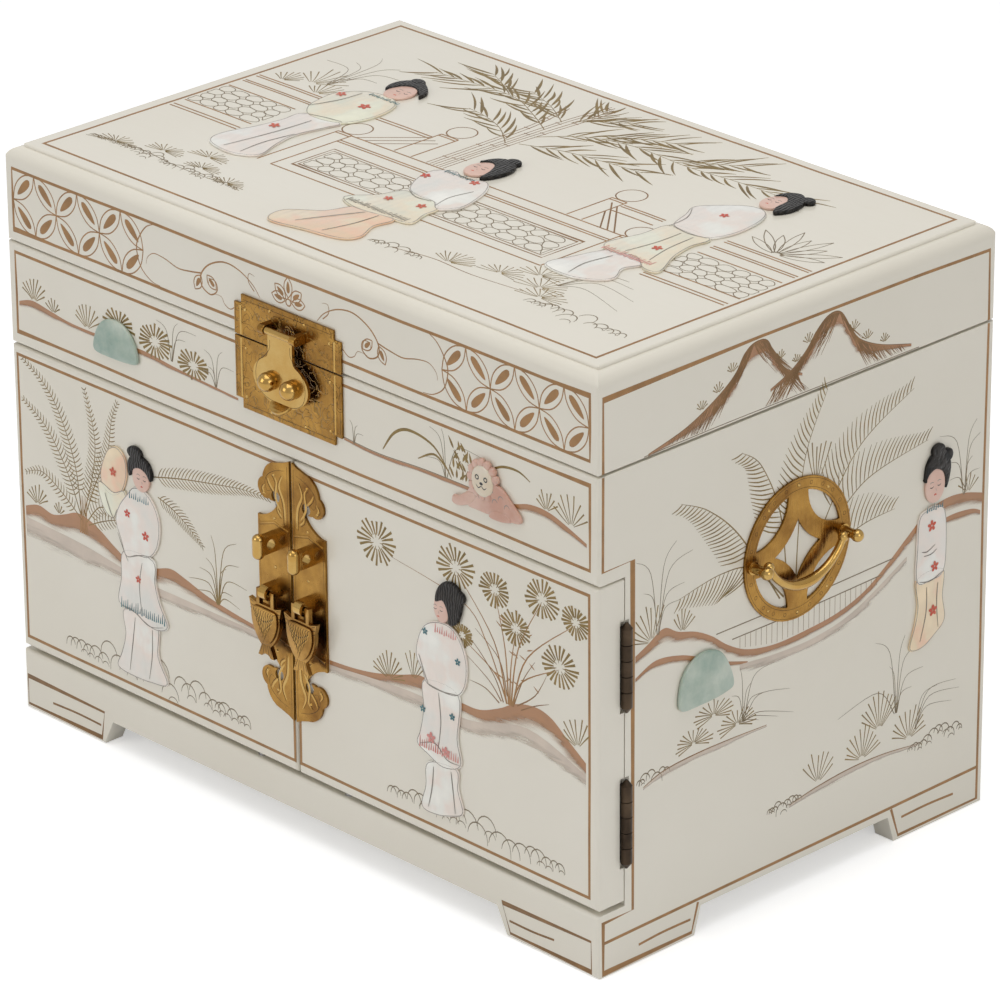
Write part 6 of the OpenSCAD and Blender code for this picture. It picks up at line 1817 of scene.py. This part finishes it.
class BOX_OT_dancer(Operator):
    """Model the dancer, her bodice, her hair and her pleated tutu"""

    bl_idname = "jewel_box.dancer"
    bl_label = "Dancer"

    def execute(self, context):
        x, y, foot = 0.0, 71.3, 161.1
        hip = foot + 21
        limbs = {
            "skin": [
                [(0, 0, foot, 0.55), (0, 0, foot + 2.6, 0.75), (0, 0, foot + 6, 1.05),
                 (0, 0, foot + 10.6, 0.95), (0, 0, foot + 15, 1.45), (0, 0, hip - 1, 1.75)],
                [(0.9, 0, hip - 1, 1.7), (4.0, 0, hip - 3.0, 1.45), (6.6, 0, hip - 5.2, 1.0),
                 (4.0, 0, hip - 7.2, 1.0), (0.9, 0, hip - 9.6, 0.6)],
                [(0, 0, hip + 8.0, 2.1), (0, 0, hip + 10.2, 1.3), (0, 0, hip + 12.2, 0.85),
                 (0, 0, hip + 13.6, 0.85)],
                [(-2.3, 0, hip + 9.2, 0.95), (-6.0, 0, hip + 11.0, 0.72), (-8.6, 0, hip + 15.4, 0.6),
                 (-8.4, 0, hip + 20.4, 0.52), (-5.4, 0, hip + 24.6, 0.45), (-1.2, 0, hip + 26.4, 0.42)],
                [(2.3, 0, hip + 9.2, 0.95), (6.0, 0, hip + 11.0, 0.72), (8.6, 0, hip + 15.4, 0.6),
                 (8.4, 0, hip + 20.4, 0.52), (5.4, 0, hip + 24.6, 0.45), (1.2, 0, hip + 26.4, 0.42)],
            ],
            "satin": [
                [(0, 0, hip - 1.6, 2.45), (0, 0, hip + 1.2, 2.15), (0, 0, hip + 4.0, 1.55),
                 (0, -0.1, hip + 7.0, 2.2), (0, 0, hip + 8.6, 2.25)],
                [(0, 0, foot - 0.2, 0.62), (0, 0, foot + 1.2, 0.8), (0, 0, foot + 2.6, 0.85)],
            ],
        }
        made = []
        for finish, chains in limbs.items():
            for k, chain in enumerate(chains):
                made.append(self.limb(f"{finish}_{k}", chain, finish))
        made += self.head(hip + 16.4)
        made += self.stand(foot)
        for o in made:
            o.data.transform(Matrix.Translation(Vector((x, y, 0)) * MM))
        body = join("dancer", made)
        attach(body, "cylinder")
        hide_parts("dancer_figure")
        self.tutu(y, hip)
        return {"FINISHED"}

    def limb(self, name, chain, finish):
        """A smooth limb lofted through round sections of the given radii."""
        line = smooth(chain, 5)
        n = 16
        verts, faces = [], []
        for i, (px, py, pz, r) in enumerate(line):
            a = Vector(line[max(0, i - 1)][:3])
            b = Vector(line[min(len(line) - 1, i + 1)][:3])
            along = (b - a).normalized()
            side = along.cross(Vector((0, 1, 0)))
            if side.length < 0.1:
                side = along.cross(Vector((1, 0, 0)))
            side.normalize()
            other = along.cross(side)
            for k in range(n):
                t = 2 * math.pi * k / n
                verts.append((Vector((px, py, pz)) + (side * math.cos(t) + other * math.sin(t)) * r) * MM)
        for i in range(len(line) - 1):
            for k in range(n):
                j = (k + 1) % n
                faces.append((i * n + k, i * n + j, (i + 1) * n + j, (i + 1) * n + k))
        for base, sign in ((0, -1), ((len(line) - 1) * n, 1)):
            px, py, pz, r = line[0 if base == 0 else -1]
            a, b = (Vector(line[i][:3]) for i in ((0, 1) if base == 0 else (-2, -1)))
            verts.append((Vector((px, py, pz)) + (b - a).normalized() * sign * r * 0.7) * MM)
            for k in range(n):
                faces.append((base + k, base + (k + 1) % n, len(verts) - 1))
        mesh = bpy.data.meshes.new(name)
        mesh.from_pydata(verts, [], faces)
        piece = new_piece(name, mesh)
        mesh.materials.append(made_of(finish))
        select_only(piece)
        clean_up()
        bpy.ops.object.shade_smooth()
        return piece

    def ball(self, name, centre, size, finish, segments=24):
        bpy.ops.object.select_all(action="DESELECT")
        bpy.ops.mesh.primitive_uv_sphere_add(segments=segments, ring_count=segments // 2, radius=MM)
        piece = bpy.context.object
        piece.name = name
        piece.data.transform(Matrix.Translation(Vector(centre) * MM) @ Matrix.Diagonal((*size, 1)))
        coat(piece, finish)
        bpy.ops.object.shade_smooth()
        return piece

    def head(self, z):
        """An oval head with a small nose, closed eyes, lips and a tied bun."""
        parts = [
            self.ball("head", (0, 0, z), (1.95, 2.1, 2.5), "skin"),
            self.ball("nose", (0, -2.1, z - 0.2), (0.28, 0.42, 0.5), "skin", 12),
            self.ball("chin", (0, -1.25, z - 1.7), (0.85, 0.7, 0.7), "skin", 12),
            self.ball("lips", (0, -1.98, z - 1.15), (0.5, 0.2, 0.17), "red_ink", 12),
            self.ball("hair_cap", (0, 0.45, z + 0.5), (2.12, 2.1, 2.35), "hair"),
            self.ball("bun", (0, 0.9, z + 2.9), (1.25, 1.25, 1.05), "hair"),
        ]
        for s in (-1, 1):
            parts.append(self.ball("eye", (s * 0.78, -1.92, z + 0.12), (0.38, 0.12, 0.09), "hair", 10))
            parts.append(self.ball("brow", (s * 0.82, -1.86, z + 0.62), (0.45, 0.1, 0.06), "hair", 10))
        for k in range(10):
            a = 2 * math.pi * k / 10
            parts.append(self.ball("bead", (1.2 * math.cos(a), 0.9 + 1.2 * math.sin(a), z + 2.3),
                                   (0.22, 0.22, 0.22), "nacre", 8))
        return parts

    def stand(self, foot):
        """A turned brass stand under the point of the shoe."""
        profile = [(0, 0), (5.4, 0), (5.4, 0.5), (5.0, 0.8), (4.2, 0.95), (3.2, 1.3), (1.6, 1.75), (0, 1.9)]
        bpy.ops.object.select_all(action="DESELECT")
        bpy.ops.mesh.primitive_plane_add(size=MM)
        piece = bpy.context.object
        bm = bmesh.new()
        last = [bm.verts.new(Vector((r, 0, foot - 2 + z)) * MM) for r, z in profile]
        for a, c in zip(last, last[1:]):
            bm.edges.new((a, c))
        bm.to_mesh(piece.data)
        bm.free()
        bpy.ops.object.mode_set(mode="EDIT")
        bpy.ops.mesh.select_all(action="SELECT")
        bpy.ops.mesh.spin(steps=40, angle=2 * math.pi, center=(0, 0, 0), axis=(0, 0, 1))
        bpy.ops.mesh.select_all(action="SELECT")
        bpy.ops.mesh.remove_doubles(threshold=0.000001)
        bpy.ops.mesh.normals_make_consistent(inside=False)
        bpy.ops.object.mode_set(mode="OBJECT")
        bpy.ops.object.shade_smooth_by_angle(angle=math.radians(40))
        coat(piece, "cast_brass")
        return [piece]

    def tutu(self, y, hip):
        """Three layers of pleated tulle, each a flat ring gathered at the waist."""
        pleats = settings().box_inside.pleats
        low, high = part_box("dancer_tutu")
        reach = (high[0] - low[0]) / 2 / MM
        for layer in range(3):
            outer = reach * (0.985 - 0.07 * layer)
            n, rows = pleats * 4, 6
            verts, faces = [], []
            for j in range(rows + 1):
                f = j / rows
                r = WAIST + (outer - WAIST) * f
                for k in range(n):
                    a = 2 * math.pi * k / n + layer * 0.05
                    wave = 0.42 * f * math.sin(pleats * a)
                    z = hip + 1.0 - 0.5 * layer - 2.2 * f * f + wave
                    verts.append(Vector((r * math.cos(a), y + r * math.sin(a), z)) * MM)
            for j in range(rows):
                for k in range(n):
                    m = (k + 1) % n
                    faces.append((j * n + k, (j + 1) * n + k, (j + 1) * n + m, j * n + m))
            mesh = bpy.data.meshes.new(f"tutu_{layer + 1}")
            mesh.from_pydata(verts, [], faces)
            mesh.materials.append(made_of("tulle"))
            mesh.shade_smooth()
            piece = new_piece(mesh.name, mesh)
            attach(piece, "cylinder")
            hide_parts("dancer_tutu")


class BOX_OT_lining_trim(Operator):
    """Add the mirror's brass frame"""

    bl_idname = "jewel_box.lining_trim"
    bl_label = "Lining trim"

    def execute(self, context):
        low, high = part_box("lid_mirror")
        x, y, z = high[0] / MM, high[1] / MM, low[2] / MM
        bpy.ops.object.select_all(action="DESELECT")
        bpy.ops.mesh.primitive_plane_add(size=2 * MM)
        piece = bpy.context.object
        wide = Matrix.Diagonal((x + 1.5, y + 1.5, 1, 1))
        piece.data.transform(Matrix.Translation((0, 0, (z - 0.02) * MM)) @ wide)
        bpy.ops.object.mode_set(mode="EDIT")
        bpy.ops.mesh.select_all(action="SELECT")
        bpy.ops.mesh.inset(thickness=3.0 * MM)
        bpy.ops.mesh.delete(type="FACE")
        bpy.ops.mesh.select_all(action="SELECT")
        bpy.ops.mesh.extrude_region_move(TRANSFORM_OT_translate={"value": (0, 0, -1.4 * MM)})
        bpy.ops.mesh.select_all(action="SELECT")
        bpy.ops.mesh.normals_make_consistent(inside=False)
        bpy.ops.object.mode_set(mode="OBJECT")
        bevel = piece.modifiers.new("Ease", "BEVEL")
        bevel.width = 0.5 * MM
        bevel.segments = 3
        bpy.ops.object.modifier_apply(modifier="Ease")
        bpy.ops.object.shade_smooth_by_angle(angle=math.radians(40))
        piece.name = piece.data.name = "mirror_frame"
        coat(piece, "cast_brass")
        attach(piece, "lid")
        return {"FINISHED"}


# ---- stage -------------------------------------------------------------------------------


def aim(place, target, roll=0.0):
    """A lamp's or camera's turn, looking from a place to a target."""
    look = (Vector(target) - Vector(place)).normalized()
    right = look.cross(Vector((0, 0, 1))).normalized()
    up = right.cross(look)
    r = math.radians(roll)
    right, up = right * math.cos(r) + up * math.sin(r), up * math.cos(r) - right * math.sin(r)
    return Matrix((right, up, -look)).transposed().to_4x4()


class BOX_OT_stage(Operator):
    """Set the camera, the floor, the surround and the softboxes"""

    bl_idname = "jewel_box.stage"
    bl_label = "Stage"

    def execute(self, context):
        scene = context.scene
        azimuth, elevation, roll, distance = 46.139, 24.004, -0.411, 2.33562
        target = Vector((0.003089, -0.000098, 0.104847))
        a, e = math.radians(azimuth), math.radians(elevation)
        back = Vector((math.sin(a) * math.cos(e), -math.cos(a) * math.cos(e), math.sin(e)))
        data = bpy.data.cameras.new("camera")
        data.sensor_width = 36.0
        data.lens = 227.674
        data.clip_end = 50.0
        camera = bpy.data.objects.new("camera", data)
        scene.collection.objects.link(camera)
        place = target + back * distance
        camera.matrix_world = Matrix.Translation(place) @ aim(place, target, roll)
        scene.camera = camera
        scene.view_settings.view_transform = "Standard"
        stage = scene.box_stage
        self.floor()
        self.lamp("overhead", (0.1, -0.1, 1.5), (0, 0, 0.1), 1.3, stage.key_power)
        self.lamp("front", (-0.55, -1.6, 0.85), (0, 0, 0.12), 0.9, stage.front_power)
        self.lamp("side", (1.75, -0.25, 0.75), (0, 0, 0.12), 0.9, stage.side_power)
        self.surround(scene, stage.world_level)
        return {"FINISHED"}

    def lamp(self, name, place, target, size, power):
        data = bpy.data.lights.new(name, "AREA")
        data.shape = "SQUARE"
        data.size = size
        data.energy = power
        lamp = bpy.data.objects.new(name, data)
        bpy.context.collection.objects.link(lamp)
        lamp.matrix_world = Matrix.Translation(place) @ aim(place, target)

    def floor(self):
        bpy.ops.object.select_all(action="DESELECT")
        bpy.ops.mesh.primitive_plane_add(size=40, location=(0, 0, -0.0002))
        floor = bpy.context.object
        floor.name = "floor"
        s = Shader("floor")
        tone = s.spread(s.noise(s.place(), 2.0, 2.0), 0.0, 1.0, 0.90, 0.93)
        s.set(Base_Color=tone, Roughness=0.9, Specular_IOR_Level=0.0, Emission_Color=(1, 1, 1, 1))
        s.set(Emission_Strength=s.math("MULTIPLY", s.seen_rays(), FLOOR_GLOW))
        floor.data.materials.append(s.material)

    def surround(self, scene, level):
        """A plain dim surround that lights the box and shows as white."""
        scene.world = bpy.data.worlds.new("surround")
        scene.world.use_nodes = True
        w = Nodes(scene.world.node_tree)
        w.tree.nodes.clear()
        place = w.add("ShaderNodeTexCoord").outputs["Generated"]
        split = w.add("ShaderNodeSeparateXYZ", {"Vector": place})
        ramp = w.add("ShaderNodeValToRGB", {"Fac": split.outputs["Z"]})
        stops = ramp.color_ramp.elements
        stops[0].position, stops[0].color = 0.0, (0.30, 0.29, 0.28, 1)
        stops[1].position, stops[1].color = 0.75, (1, 1, 1, 1)
        dim = w.add("ShaderNodeBackground", {"Color": ramp.outputs["Color"], "Strength": level})
        white = w.add("ShaderNodeBackground", {"Strength": 1.0})
        shaders = {1: dim.outputs["Background"], 2: white.outputs["Background"]}
        mix = w.add("ShaderNodeMixShader", {0: w.seen_rays(), **shaders})
        w.add("ShaderNodeOutputWorld", {"Surface": mix.outputs["Shader"]})


class BOX_PT_panel(Panel):
    """Lists the steps that dress the jewellery box"""

    bl_idname = "BOX_PT_panel"
    bl_label = "Jewellery Box"
    bl_space_type = "VIEW_3D"
    bl_region_type = "UI"
    bl_category = "Jewellery Box"

    def draw(self, context):
        for group in (context.scene.box_paint, context.scene.box_relief, context.scene.box_brass,
                      context.scene.box_inside, context.scene.box_stage):
            box = self.layout.box()
            for key in group.__annotations__:
                box.prop(group, key)
        for step in STEPS:
            self.layout.operator(step.bl_idname)


STEPS = (
    BOX_OT_stage,
    BOX_OT_finishes,
    BOX_OT_painting,
    BOX_OT_relief,
    BOX_OT_clasp,
    BOX_OT_door_furniture,
    BOX_OT_side_handles,
    BOX_OT_ring_rolls,
    BOX_OT_dancer,
    BOX_OT_lining_trim,
)
GROUPS = (
    (PaintSettings, "box_paint"),
    (ReliefSettings, "box_relief"),
    (BrassSettings, "box_brass"),
    (InsideSettings, "box_inside"),
    (StageSettings, "box_stage"),
)


def register():
    for group, name in GROUPS:
        bpy.utils.register_class(group)
        setattr(bpy.types.Scene, name, PointerProperty(type=group))
    for cls in STEPS + (BOX_PT_panel,):
        bpy.utils.register_class(cls)


def unregister():
    for cls in reversed(STEPS + (BOX_PT_panel,)):
        bpy.utils.unregister_class(cls)
    for group, name in reversed(GROUPS):
        delattr(bpy.types.Scene, name)
        bpy.utils.unregister_class(group)


def main():
    register()
    for step in STEPS:
        area, name = step.bl_idname.split(".")
        getattr(getattr(bpy.ops, area), name)()


if __name__ == "__main__":
    main()
